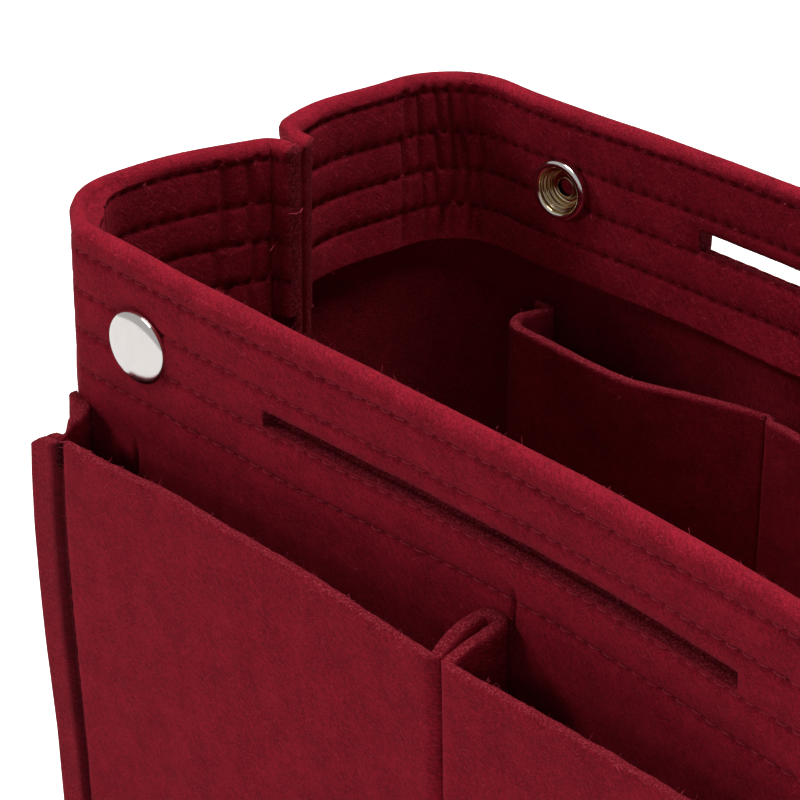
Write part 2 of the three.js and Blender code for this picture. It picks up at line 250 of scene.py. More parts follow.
feltWine, fuzzWine = feltFinish("feltWine"), fuzzFinish("fuzzWine")
threadWine, threadPaintedShade = threadFinish("threadWine"), threadFinish("threadPaintedShade")
nickelBright, nickelWarm = nickelFinish("nickelBright"), nickelFinish("nickelWarm")
nickelPaintedShade = nickelFinish("nickelPaintedShade")
print("finishes made")


def settle(mesh, weld=0):  # joins points nearer than weld and turns every face outward
    work = bmesh.new()
    work.from_mesh(mesh)
    if weld:
        bmesh.ops.remove_doubles(work, verts=work.verts, dist=weld)
    bmesh.ops.recalc_face_normals(work, faces=work.faces)
    work.to_mesh(mesh)
    work.free()


def layOut(mesh, lay):  # each point's place on the felt, in centimetres
    corners = np.empty(len(mesh.loops), np.int32)
    mesh.loops.foreach_get("vertex_index", corners)
    mesh.uv_layers.new(name="lay").uv.foreach_set("vector", lay[corners].ravel())


def keepMask(mesh, name, values):
    mesh.attributes.new(name, "FLOAT", "POINT").data.foreach_set("value", np.asarray(values, np.float32))


def readPoints(mesh, what="co"):
    values = np.empty(len(mesh.vertices) * 3, np.float32)
    mesh.vertices.foreach_get(what, values)
    return values.reshape(-1, 3)


def addPiece(name, mesh, finish):
    mesh.shade_smooth()
    mesh.materials.append(finish)
    piece = bpy.data.objects.new(name, mesh)
    scene.collection.objects.link(piece)
    return piece


def makePiece(name, points, faces, finish, lay=None, masks=None):  # points in millimetres
    mesh = bpy.data.meshes.new(name)
    mesh.from_pydata((np.asarray(points) * mm).tolist(), [], [list(face) for face in faces])
    if lay is not None:
        layOut(mesh, np.asarray(lay, np.float32) / 10)
    for key, values in (masks or {}).items():
        keepMask(mesh, key, values)
    settle(mesh)
    return addPiece(name, mesh, finish)


def smoothStep(value, low, high):
    t = np.clip((value - low) / (high - low), 0, 1)
    return t * t * (3 - 2 * t)


def between(value, rise, fall):  # 1 from the end of rise to the start of fall
    return smoothStep(value, *rise) * (1 - smoothStep(value, *fall))


def bell(value, middle, width):
    return np.exp(-(((value - middle) / width) ** 2))


def hump(value, height, middle, width):
    return height * bell(value, middle, width)


rippleLook = {"waves": 7, "longest": 70.0, "shorter": 0.55, "weaker": 0.5, "evenOut": 2.2}


def ripple(along, across, seed, size, longest=rippleLook["longest"]):  # slow waves, the same each run
    chance = np.random.default_rng(seed)
    total = 0.0
    for turn in range(rippleLook["waves"]):
        reach = longest / (1 + rippleLook["shorter"] * turn)
        angle = chance.uniform(0, 2 * math.pi)
        wave = (along * math.cos(angle) + across * math.sin(angle)) * 2 * math.pi / reach
        total = total + np.sin(wave + chance.uniform(0, 2 * math.pi)) / (1 + rippleLook["weaker"] * turn)
    return total * size / rippleLook["evenOut"]


def gridFaces(rows, columns, gone=()):  # joins closed rows of points, without the cells in gone
    faces = []
    for i in range(rows - 1):
        for j in range(columns):
            if (i, j) not in gone:
                a, b = i * columns + j, i * columns + (j + 1) % columns
                faces.append((a, b, b + columns, a + columns))
    return faces


def runLength(points):  # length of a line up to each of its points
    return np.concatenate([[0], np.cumsum(np.hypot(*np.diff(points, axis=0).T))])


planStep = 0.1


def planLine(x, y, heading, moves):  # runs and round turns in plan, finely stepped
    points = [(x, y)]
    for distance, angle, radius in moves:
        count = max(1, int((distance or abs(angle) * radius) / planStep))
        bit = angle / count
        stride = distance / count if distance else 2 * radius * math.sin(abs(bit) / 2)
        for _ in range(count):
            x, y = x + stride * math.cos(heading + bit / 2), y + stride * math.sin(heading + bit / 2)
            heading += bit
            points.append((x, y))
    return np.array(points)


def eased(points, reach):  # softens the joins of a stepped line
    kernel = np.exp(-((np.arange(-3 * reach, 3 * reach + planStep, planStep) / reach) ** 2) / 2)
    kernel /= kernel.sum()
    pad = len(kernel) // 2
    before = points[0] + (points[0] - points[1]) * np.arange(pad, 0, -1)[:, None]
    after = points[-1] + (points[-1] - points[-2]) * np.arange(1, pad + 1)[:, None]
    whole = np.vstack([before, points, after])
    return np.stack([np.convolve(whole[:, k], kernel, "valid") for k in (0, 1)], 1)[: len(points)]


shell = {
    "length": 260.0, "width": 118.0, "height": 155.0, "felt": 2.2, "foot": 2.5,
    "corner": 18.0, "slant": math.radians(9), "seamTurn": 5.5, "fin": 2.4, "seamGap": 0.3, "easing": 1.6,
    "hem": 38.0, "rows": (150.0, 141.6, 133.2, 124.8), "innerRows": (151.6, 142.2, 133.6, 125.0),
    "pitch": 3.6, "perStitch": 6, "leastStep": 0.2, "needleStarts": (0.0, 1.2, 2.4, 0.6),
    "slotReach": 59.1, "slot": ((135.6, 137.8), (134.3, 138.7)),  # in front and behind, where it gapes
    "studX": 95.0, "studZ": 137.0, "seeds": (11, 40), "fibres": 6000, "fuzzFrom": 152,
    "tacks": ((-97.5, 106.5, 115.2), (4.5, 118.0, 127.4), (97.5, 106.5, 115.2)),  # along, foot and top
}


def shellLine():  # outer face of the front half in plan
    fin, turn, corner = shell["fin"], shell["seamTurn"], shell["corner"]
    slant, quarter = shell["slant"], math.pi / 2
    seamY = -shell["seamGap"] / 2
    reach = shell["length"] / 2 - corner
    spare = corner - turn
    rise = seamY - turn - (corner - shell["width"] / 2)
    endRun = (rise - spare * math.sin(slant)) / math.cos(slant)
    turnX = (rise * math.sin(slant) - spare) / math.cos(slant) - reach
    half = [(fin, 0, 0), (0, quarter - slant, turn), (endRun, 0, 0), (0, quarter + slant, corner)]
    moves = half + [(2 * reach, 0, 0)] + half[::-1]
    return eased(planLine(turnX + fin, seamY, math.pi, moves), shell["easing"])


creaseLook = {
    "cornerBend": 15.7, "seamBack": 5,
    "back": (-7, -3, 1, 5, 10, 16), "front": (4,), "frontSeam": (-13, -6, -1),
    "stray": 1.0, "depth": (0.55, 1.0), "rimShare": 0.6, "width": (0.6, 1.1), "tilt": (-0.12, 0.12),
    # shown is how strongly painted shade darkens the creases
    "past": 0.6, "fade": 1, "press": 0.9, "shown": 0.8,
}

swellLook = {
    "puff": (0.26, 0.14), "groove": (0.36, 0.22), "hole": (0.35, 0.5),  # on the outer and the inner face
    "grooveWidth": (0.7, 0.55), "paintedGrooveShown": (0.4, 0.8), "paintedHoleShown": (0.45, 1),  # these too
    "puffBelow": 7, "puffAbove": 4, "puffStart": 6, "puffFull": 3, "holeWidth": 0.5, "holeLength": 0.6,
    "tack": 2.6, "tackWidth": 0.45, "tackFade": 1, "tackBefore": 0.6, "tackPast": 0.4,
    "wave": 0.22, "dimple": 0.08, "dimpleReach": 14,
    "bunch": (3.0, 128, 11), "bunchRange": (119, 140),  # height, middle and width; start and end
    "seamBefore": 5, "seamPast": 1, "seamCalm": 0.65, "shutBefore": 2, "shutOut": 0.146,
    "dish": 0.3, "dishRange": (6.2, 9.5), "stud": 1.1, "studRange": (4.4, 5.6),
    "worn": 0.75, "wornReach": 1.1, "lipRange": (0.4, 1.2), "lipWidth": 1.1, "lipFade": 3, "holesFrom": 2,
    "seamTuck": (0.0, 0.9), "lipSink": (0.3, 0.55),  # in front and behind
}


class HalfShell:
    def __init__(self, back):
        self.back = back
        self.seed = shell["seeds"][back]
        self.line = shellLine()
        self.run = runLength(self.line)
        self.middle = self.run[-1] / 2
        away = np.gradient(self.line, self.run, axis=0)
        self.heading = np.unwrap(np.arctan2(away[:, 1], away[:, 0]))
        spacing = shell["pitch"] / shell["perStitch"]
        count = int((self.middle - 0.5 * spacing) / spacing)
        offsets = spacing * (np.arange(count + 1) + 0.5)
        if self.middle - offsets[-1] > shell["leastStep"]:
            offsets = np.append(offsets, self.middle)
        self.stations = np.concatenate([-offsets[::-1], offsets])  # along the felt, from its middle
        self.creases = self.makeCreases()

    def makeCreases(self):  # upright folds pressed into the hem where it turns in
        look, chance = creaseLook, np.random.default_rng(self.seed)
        levels = [shell["height"], *shell["innerRows"], shell["height"] - shell["hem"]]
        cornerAt = shell["length"] / 2 - shell["corner"] + look["cornerBend"]
        seamAt = self.middle - shell["fin"] - look["seamBack"]
        spots = [cornerAt + off for off in look["back" if self.back else "front"]]
        if not self.back:
            spots += [seamAt + off for off in look["frontSeam"]]
        found = []
        for side in (-1, 1):
            for band in range(len(levels) - 1):
                for spot in spots:
                    at = side * (spot + chance.uniform(-look["stray"], look["stray"]))
                    deep = chance.uniform(*look["depth"]) * (look["rimShare"] if band == 0 else 1)
                    wide, tilt = chance.uniform(*look["width"]), chance.uniform(*look["tilt"])
                    found.append((at, levels[band + 1], levels[band], deep, wide, tilt))
        return found

    def creased(self, along, z):
        past, fade = creaseLook["past"], creaseLook["fade"]
        crease = np.zeros(along.shape)
        for at, low, high, deep, wide, tilt in self.creases:
            within = between(z, (low - past, low + fade), (high - fade, high + past))
            crease = np.maximum(crease, deep * within * bell(along, at + tilt * (z - low), wide))
        return crease

    def needle(self, along, row):  # 1 at each needle hole of a row
        pitch = shell["pitch"]
        gap = (along - shell["needleStarts"][row] + pitch / 2) % pitch - pitch / 2
        return bell(gap, 0, swellLook["holeLength"])

    def quilt(self, along, z, inside):  # puffs between the sewn rows, grooves along them and needle holes
        look = swellLook
        rows = shell["innerRows" if inside else "rows"]
        top, bottom = shell["height"] - shell["felt"], shell["height"] - shell["hem"]
        levels = (bottom - look["puffBelow"], *rows[::-1], top + look["puffAbove"])
        puff, groove, hole = (np.zeros(along.shape) for _ in range(3))
        for low, high in zip(levels[:-1], levels[1:]):
            t = np.clip((z - low) / (high - low), 0, 1)
            puff += np.where((z >= low) & (z < high), np.sin(math.pi * t), 0)
        for number, row in enumerate(rows):
            groove = np.maximum(groove, bell(z, row, look["grooveWidth"][inside]))
            hole = np.maximum(hole, bell(z, row, look["holeWidth"]) * self.needle(along, number))
        if not inside:
            puff *= smoothStep(z, bottom - look["puffStart"], bottom + look["puffFull"])
            for at, low, high in shell["tacks"]:
                ends = (low, low + look["tackFade"]), (high - look["tackBefore"], high + look["tackPast"])
                tack = hump(along, look["tack"], at, look["tackWidth"]) * between(z, *ends)
                groove = np.maximum(groove, tack)
        return puff, groove, hole

    def swell(self, along, z, inside):  # how far the felt stands proud, with its masks of painted shade for grooves, creases and needle holes
        look = swellLook
        along, z = np.broadcast_arrays(along, z)
        far, seamAt = np.abs(along), self.middle - shell["fin"]
        puff, groove, hole = self.quilt(along, z, inside)
        crease = self.creased(along, z) if inside else np.zeros(along.shape)
        out = look["puff"][inside] * puff - look["groove"][inside] * groove - look["hole"][inside] * hole
        out = out - creaseLook["press"] * crease
        out = out + ripple(along, z, self.seed + inside, look["wave"])
        out = out + ripple(along, z, self.seed + 5 + inside, look["dimple"], look["dimpleReach"])
        if inside and not self.back:
            out = out + hump(far, *look["bunch"]) * smoothStep(z, *look["bunchRange"])  # in the corner
        if inside:
            seam = smoothStep(far, seamAt - look["seamBefore"], seamAt + look["seamPast"])
            out = out * (1 - look["seamCalm"] * seam) - look["seamTuck"][self.back] * seam
        else:
            shut = smoothStep(far, seamAt - look["shutBefore"], seamAt)
            out = out * (1 - shut) + look["shutOut"] * shut
        away = np.hypot(far - shell["studX"], z - shell["studZ"])
        out = out - look["dish"] * (1 - smoothStep(away, *look["dishRange"]))
        out = out - look["stud"] * (1 - smoothStep(away, *look["studRange"]))
        edge = smoothStep(far, self.middle - look["wornReach"], self.middle)
        out = out - look["worn"] * edge**2
        low, high = shell["slot"][self.back]
        near, end = np.clip(np.maximum(low - z, z - high), 0, None), shell["slotReach"]
        beyond = smoothStep(far, end, end + look["holesFrom"])
        hole = hole * np.maximum(smoothStep(near, *look["lipRange"]), beyond)
        lip = hump(near, look["lipSink"][self.back], 0, look["lipWidth"])
        out = out - lip * (1 - smoothStep(far, end, end + look["lipFade"]))
        # painted shade along the sewn rows, tacks and creases, and in the needle holes
        shade = np.maximum(groove * look["paintedGrooveShown"][inside], creaseLook["shown"] * crease)
        return out, shade, hole * look["paintedHoleShown"][inside]

    def stand(self, along, depth, z):  # point in the room, from its place along, into and up the wall
        at = np.clip(along + self.middle, 0, self.run[-1])
        heading = np.interp(at, self.run, self.heading)
        x = np.interp(at, self.run, self.line[:, 0]) - depth * np.sin(heading)
        y = np.interp(at, self.run, self.line[:, 1]) + depth * np.cos(heading)
        x, y, z = np.broadcast_arrays(x, y, z)
        if self.back:
            x, y = -x, -y
        return slump(x, y, z)

    def thread(self, along, z, inside, lift):  # points over a face of the felt, and the way out of it
        way, depth = (1, 2 * shell["felt"]) if inside else (-1, 0.0)
        rise = self.swell(along, z, inside)[0] + lift
        here = self.stand(along, depth + way * rise, z)
        return here, self.stand(along, depth + way * (rise + 1), z) - here


slumpLook = {  # height, middle and width of each bulge; start and end of each range
    "rise": (8, 120), "walls": (20, 50), "nearRim": (122, 155), "rimHold": 0.55,
    "frontBow": (3.2, 8, 48), "frontFlare": (1.5, 84, 26),
    "frontEnd": (3.1, -25, 19), "frontCorner": (3.0, -57, 6),
    "backBow": (2.8, 5, 60), "backTuck": (4.2, 108, 30), "backEnd": (6.6, 13, 21),
    "tuckLow": 0.6, "tuckRange": (132, 155), "ends": (112, 124), "seam": (0, 5), "endFoot": 0.35,
    "divider": 33.6, "pull": 3.4, "pullWidth": 14, "pullStart": (10, 45), "pullEnd": (104, 126),
}


def slump(x, y, z):  # how the soft walls stand away from the drawn shape
    look = slumpLook
    up, out = smoothStep(z, *look["rise"]), np.abs(x)
    front, behind = smoothStep(-y, *look["walls"]), smoothStep(y, *look["walls"])
    level = up * (1 - look["rimHold"] * smoothStep(z, *look["nearRim"]))
    dy = front * (level * hump(x, *look["frontBow"]) - up * hump(x, *look["frontFlare"]))
    tuck = look["tuckLow"] + (1 - look["tuckLow"]) * smoothStep(z, *look["tuckRange"])
    dy = dy + behind * up * (hump(x, *look["backBow"]) - tuck * hump(out, *look["backTuck"]))
    pull = hump(out, look["pull"], look["divider"], look["pullWidth"])
    dy = dy - behind * pull * between(z, look["pullStart"], look["pullEnd"])
    ends = hump(y, *look["frontEnd"]) * smoothStep(-y, *look["seam"]) - hump(y, *look["frontCorner"])
    ends = ends + hump(y, *look["backEnd"]) * smoothStep(y, *look["seam"])
    dx = np.sign(x) * smoothStep(out, *look["ends"]) * ends * (look["endFoot"] + (1 - look["endFoot"]) * up)
    return np.stack(np.broadcast_arrays(x + dx, y + dy, z), -1)


def stepsBetween(values, widest):  # fills a rising list so that no gap is wider
    full = []
    for low, high in zip(values[:-1], values[1:]):
        full += list(np.linspace(low, high, max(1, math.ceil((high - low) / widest)) + 1)[:-1])
    return np.array(full + [values[-1]])


shellMesh = {
    "lowLevels": (20, 100, 105, 106.5, 108, 110, 112, 114, 115.2), "lowWidest": 9, "footStep": 0.6,
    "rowLevels": (-1.7, -1.0, -0.5, 0, 0.5, 1.0), "hemWidest": 1.5, "hemStep": 0.4, "slotApart": 0.3,
    "rimSteps": 11, "rimSwell": 0.12, "rimWave": 0.2, "wallWave": 0.25, "cutWave": 0.3, "cutReach": 9,
    # painted shade on the inner lower wall; painted light on the inner hem band, as a negative groove shade
    # and lighter hair fibres
    "cutRound": 0.6, "cutSink": 0.15, "tuckSink": 0.02, "wallPaintedShade": 0.42, "hemPaintedLightAndShade": -0.3, "hemHairPaintedLight": 0.7,
    "lipRaw": 0.6, "lipSlant": 1.3, "endRaw": 0.8, "endPaintedShade": 0.25, "endSwell": 0.5,
    # share of the way in, widening and painted shade (groove mask) of each loop in the slot
    "slotLoops": ((0.12, -0.05, 0), (0.44, -0.05, 0), (0.5, 0.25, 0.2), (0.56, -0.05, 0), (0.88, -0.05, 0)),
    "slotLay": (300, 9), "endLay": 500.0, "backLay": (613.0, 207.0),
}
outerFace, rimFace, hemFace, hemCut, innerFace, footFace = range(6)


def hemLevels(back):
    look = shellMesh
    bottom, top = shell["height"] - shell["hem"], shell["height"] - shell["felt"]
    levels = {bottom, bottom + look["hemStep"], top}
    for row in (*shell["rows"], shell["innerRows"][0]):
        levels |= {row + off for off in look["rowLevels"]}
    for edge in shell["slot"][back]:
        levels = {level for level in levels if abs(level - edge) > look["slotApart"]} | {edge}
    return stepsBetween(sorted(levels), look["hemWidest"])


class ShellMesh:  # a section of the wall swept along the half shell, with its slot and cut ends
    def __init__(self, half):
        look, felt, height, foot = shellMesh, shell["felt"], shell["height"], shell["foot"]
        self.half, self.hemZ = half, hemLevels(half.back)
        lowest = self.hemZ[0]
        lowLevels = [foot, foot + look["footStep"], *look["lowLevels"], lowest - look["hemStep"]]
        self.lowZ = stepsBetween(lowLevels, look["lowWidest"])
        # depth, level, direction that the felt swells in and kind of face
        section = [(0, z, -1, 0, outerFace) for z in [*self.lowZ, *self.hemZ]]
        for angle in np.linspace(math.pi, 0, look["rimSteps"])[1:-1]:
            c, s = math.cos(angle), math.sin(angle)
            section.append((felt + felt * c, height - felt + felt * s, c, s, rimFace))
        self.outerStart, self.innerStart = len(self.lowZ), len(section)
        section += [(2 * felt, z, 1, 0, hemFace) for z in self.hemZ[::-1]]
        self.hemEdge = len(section)
        for depth in (2 * felt - look["cutRound"], felt + look["cutRound"]):
            section.append((depth, lowest - look["cutSink"], 0, -1, hemCut))
        section += [(felt, z, 1, 0, innerFace) for z in [lowest - look["tuckSink"], *self.lowZ[::-1]]]
        section.append((felt / 2, foot, 0, -1, footFace))
        self.rows, self.columns = len(half.stations), len(section)
        self.sweep(*(np.array(column, float)[None, :] for column in zip(*section)))

    def sweep(self, depth, level, outDepth, outUp, kind):
        look, half = shellMesh, self.half
        along, full = half.stations[:, None], (self.rows, self.columns)
        outerOut, outerGroove, outerHole = half.swell(along, level, False)
        innerOut, innerGroove, innerHole = half.swell(along, level, True)
        rimOut = look["rimSwell"] + ripple(along, level, half.seed + 9, look["rimWave"])
        wallOut = ripple(along, level, half.seed + 12, look["wallWave"])
        cutOut = ripple(along, level, half.seed + 15, look["cutWave"], look["cutReach"])
        kinds = [kind == face for face in (outerFace, rimFace, hemFace, hemCut, innerFace)]
        out = np.select(kinds, [outerOut, rimOut, innerOut, cutOut, wallOut], 0)
        # painted light: the inner hem band's groove shade is lowered by a negative value, so the band reads
        # as lit
        hemPaintedLightAndShade = innerGroove + look["hemPaintedLightAndShade"]
        masks = {
            "raw": (kind == hemCut) * 1.0,
            # painted shade: the inner lower wall gets a flat darkening for the shade deep inside the bag
            "groove": np.select(kinds, [outerGroove, 0, hemPaintedLightAndShade, 0, look["wallPaintedShade"]], 0),
            "hole": np.select(kinds, [outerHole, 0, innerHole, 0, 0], 0),
            # painted light: lighter hair fibres over the whole inner hem band
            "frayAndPaintedLight": (kind == hemFace) * look["hemHairPaintedLight"],
        }
        self.masks = {key: np.array(np.broadcast_to(values, full)).ravel() for key, values in masks.items()}
        self.points = half.stand(along, depth + outDepth * out, level + outUp * out).reshape(-1, 3)
        across = runLength(np.stack([depth[0], level[0]], 1))
        lay = np.stack(np.broadcast_arrays(along, across[None, :]), -1).reshape(-1, 2)
        self.lay = lay + np.array(look["backLay"]) if half.back else lay

    def add(self, points, lay, **masks):  # masks that aren't told are 0
        first = len(self.points)
        self.points, self.lay = np.vstack([self.points, points]), np.vstack([self.lay, lay])
        for key, values in self.masks.items():
            self.masks[key] = np.append(values, np.full(len(points), masks.get(key, 0.0)))
        return np.arange(first, len(self.points))

    def cutSlot(self):  # through both layers
        look, slot, reach = shellMesh, shell["slot"][self.half.back], shell["slotReach"]
        first, last = (int(np.argmin(np.abs(self.half.stations - end))) for end in (-reach, reach))
        low, high = (int(np.argmin(np.abs(self.hemZ - edge))) for edge in slot)
        cells = [(i, k) for i in range(first, last) for k in range(low, high)]
        gone = {(i, self.outerStart + k) for i, k in cells} | {(i, self.hemEdge - 2 - k) for i, k in cells}
        self.faces = gridFaces(self.rows, self.columns, gone)
        edge = [(i, low) for i in range(first, last)] + [(last, k) for k in range(low, high)]
        edge += [(i, high) for i in range(last, first, -1)] + [(first, k) for k in range(high, low, -1)]
        outer = np.array([i * self.columns + self.outerStart + k for i, k in edge])
        inner = np.array([i * self.columns + self.hemEdge - 1 - k for i, k in edge])
        self.masks["raw"][outer] = self.masks["raw"][inner] = look["lipRaw"]
        along, level = self.half.stations[[i for i, _ in edge]], self.hemZ[[k for _, k in edge]]
        away = np.sign(level - sum(slot) / 2)
        self.points[outer, 2] -= look["lipSlant"] * (away < 0)  # the lower lip is cut slanting
        loops = [outer]
        # the middle loop of the slot carries painted shade in the groove mask
        for share, give, groove in look["slotLoops"]:
            loop = self.points[outer] * (1 - share) + self.points[inner] * share
            loop[:, 2] += give * away
            lay = np.stack([along + look["slotLay"][0], level + look["slotLay"][1] * share], 1)
            loops.append(self.add(loop, lay, raw=1.0, groove=groove))
        loops.append(inner)
        for one, two in zip(loops[:-1], loops[1:]):
            for k in range(len(edge)):
                n = (k + 1) % len(edge)
                self.faces.append((one[k], one[n], two[n], two[k]))

    def closeEnd(self, row, way):  # cut end of the seam allowances
        look, count, base = shellMesh, len(self.hemZ), row * self.columns
        middle = self.half.stand(self.half.stations[row] - way * look["endSwell"], shell["felt"], self.hemZ)
        lay = np.stack([np.full(count, look["endLay"]), self.hemZ], 1)
        # painted shade along the middle of the cut end, where the two layers meet
        start = int(self.add(middle, lay, raw=1.0, groove=look["endPaintedShade"])[0])
        self.masks["raw"][base : base + self.columns] = look["endRaw"]
        outer, edge = base + self.outerStart, base + self.hemEdge
        for k in range(count - 1):
            self.faces.append((outer + k, outer + k + 1, start + k + 1, start + k))
            self.faces.append((start + k, start + k + 1, edge - 2 - k, edge - 1 - k))
        for j in range(outer + count - 1, base + self.innerStart):
            self.faces.append((j, j + 1, start + count - 1))
        lower = [edge - 1, edge, edge + 1, edge + 2, outer]
        self.faces += [(one, two, start) for one, two in zip(lower[:-1], lower[1:])]
        for k in range(len(self.lowZ)):
            self.faces.append((outer - k, outer - k - 1, edge + 3 + k, edge + 2 + k))
        self.faces.append((base, base + self.columns - 1, base + self.columns - 2))


def shellPiece(name, half):
    skin = ShellMesh(half)
    skin.cutSlot()
    skin.closeEnd(0, 1)
    skin.closeEnd(skin.rows - 1, -1)
    return makePiece(name, skin.points, skin.faces, feltWine, skin.lay, skin.masks)


tubeLook = {"taper": 0.55, "layStep": 0.5}


def tubes(lines, ups, radius, sides):  # short threads, one tube for each line of points
    lines, ups = np.asarray(lines), np.asarray(ups)
    count, rings = lines.shape[:2]
    away = np.gradient(lines, axis=1)
    away /= np.linalg.norm(away, axis=2, keepdims=True)
    across = np.cross(away, ups)
    across /= np.linalg.norm(across, axis=2, keepdims=True)
    up = np.cross(across, away)
    angle = (np.arange(sides) * 2 * math.pi / sides)[None, None, :, None]
    ring = up[:, :, None, :] * np.cos(angle) + across[:, :, None, :] * np.sin(angle)
    taper = np.ones(rings)
    taper[0] = taper[-1] = tubeLook["taper"]
    points = lines[:, :, None, :] + ring * (radius * taper)[None, :, None, None]
    ends = [tuple(range(sides))[::-1], tuple((rings - 1) * sides + k for k in range(sides))]
    one = gridFaces(rings, sides) + ends
    faces = [tuple(k + n * rings * sides for k in face) for n in range(count) for face in one]
    u = np.broadcast_to((np.arange(rings) * tubeLook["layStep"])[None, :, None], (count, rings, sides))
    v = np.broadcast_to((np.arange(sides) * 2 * radius)[None, None, :], (count, rings, sides))
    return points.reshape(-1, 3), faces, np.stack([u, v], -1).reshape(-1, 2)


fuzzLook = {
    "radius": 0.03, "sides": 3, "length": (0.3, 1.0), "steps": (-0.1, 0.3, 0.65, 1.0), "thicker": 2.0,
    "seamClear": 2, "footClear": 20, "outward": (0.1, 0.5), "scatter": 0.6, "shift": 0.25, "curl": 0.45,
}


def fuzz(name, felt, count, seed, edge):  # fine loose fibres, which stand thicker above the edge
    look, chance = fuzzLook, np.random.default_rng(seed)
    spots, out = readPoints(felt.data).astype(float) / mm, readPoints(felt.data, "normal").astype(float)
    share = np.where(spots[:, 2] > edge, look["thicker"], 1.0)
    share = share * (np.abs(spots[:, 1]) > look["seamClear"]) * (spots[:, 2] > look["footClear"])
    pick = chance.choice(len(spots), count, p=share / share.sum())
    lean = out[pick] * chance.uniform(*look["outward"], (count, 1))
    lean = lean + chance.normal(0, look["scatter"], (count, 3))
    lean /= np.linalg.norm(lean, axis=1, keepdims=True)
    reach = chance.uniform(*look["length"], (count, 1, 1))
    t = np.array(look["steps"])[None, :, None]
    root = spots[pick] + chance.normal(0, look["shift"], (count, 3)) * (1 - np.abs(out[pick]))
    curl = chance.normal(0, look["curl"], (count, 1, 3))
    lines = root[:, None, :] + reach * (lean[:, None, :] * t + curl * t * t)
    ups = np.broadcast_to(chance.normal(0, 1, (count, 1, 3)), lines.shape)
    points, faces, lay = tubes(lines, ups, look["radius"], look["sides"])
    return makePiece(name, points, faces, fuzzWine, lay)


hemThread = {
    "radius": 0.13, "sides": 5, "rings": 7, "outerLift": 0.17, "innerLift": -0.1, "dive": 0.9, "uneven": 0.1,
    "start": 0.05, "span": 0.9, "arch": 0.45, "endClear": 0.6,
    "tackPitch": 2.9, "tackLift": 0.05, "tackDive": 0.5, "tackClear": 2,
}


def hemStitches(name, half):
    look, pitch = hemThread, shell["pitch"]
    t = np.linspace(0, 1, look["rings"])
    part, dip = look["start"] + look["span"] * t, 1 - np.sin(math.pi * t) ** look["arch"]
    chance = np.random.default_rng(half.seed + 70)
    reach = half.stations[-1] - look["endClear"]
    sewn = []
    for inside in (False, True):
        for number, row in enumerate(shell["innerRows" if inside else "rows"]):
            start = shell["needleStarts"][number]
            low, high = math.ceil((-reach - start) / pitch), math.floor((reach - start) / pitch)
            holes = start + pitch * np.arange(low, high)
            along = holes[:, None] + pitch * part[None, :]
            lift = look["innerLift" if inside else "outerLift"] - look["dive"] * dip[None, :]
            lift = lift + chance.uniform(-1, 1, (len(holes), 1)) * look["uneven"]
            sewn.append(half.thread(along, np.full(along.shape, row), inside, lift))
    for at, low, high in shell["tacks"]:
        holes = np.arange(low, high - look["tackClear"], look["tackPitch"])
        z = holes[:, None] + look["tackPitch"] * part[None, :]
        lift = look["tackLift"] - look["tackDive"] * dip[None, :]
        sewn.append(half.thread(np.full(z.shape, at), z, False, lift))
    lines, ups = (np.concatenate(column) for column in zip(*sewn))
    points, faces, lay = tubes(lines, ups, look["radius"], look["sides"])
    return makePiece(name, points, faces, threadWine, lay)


for side, back in (("front", False), ("back", True)):
    half = HalfShell(back)
    felt = shellPiece(side + "_shell", half)
    ends = [end + "_" + side + "_end" for end in ("left", "right")]
    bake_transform(felt)
    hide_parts(side + "_wall", *ends)
    sewn = hemStitches(side + "_hem_stitches", half)
    loose = fuzz(side + "_shell_fuzz", felt, shell["fibres"], half.seed + 90, shell["fuzzFrom"])
    for piece in (sewn, loose):
        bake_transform(piece)

seamEnds = {  # where the sewing of the left end was cut off
    "lines": [
        [(-117.6, -1.2, 154.4), (-118.0, -2.6, 156.1), (-118.4, -3.8, 156.8), (-118.8, -4.9, 156.0)],
        [(-116.3, -4.4, 140.9), (-116.0, -2.9, 140.3), (-116.1, -1.5, 140.3), (-116.6, -0.4, 140.8)],
        [(-119.4, -7.0, 131.6), (-118.6, -7.4, 132.6), (-118.9, -6.4, 133.2), (-119.6, -6.0, 132.5)],
    ],
    "up": (0.3, 0.2, 1.0), "radius": 0.14, "sides": 6,
}
ups = np.broadcast_to(seamEnds["up"], np.shape(seamEnds["lines"]))
points, faces, lay = tubes(seamEnds["lines"], ups, seamEnds["radius"], seamEnds["sides"])
ends = makePiece("seam_thread_ends", points, faces, threadWine, lay)
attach(ends, "base_and_ends")
print("shells made")

filletLook = {"runStep": 0.8, "turnStep": 0.45, "turnLeast": 4}


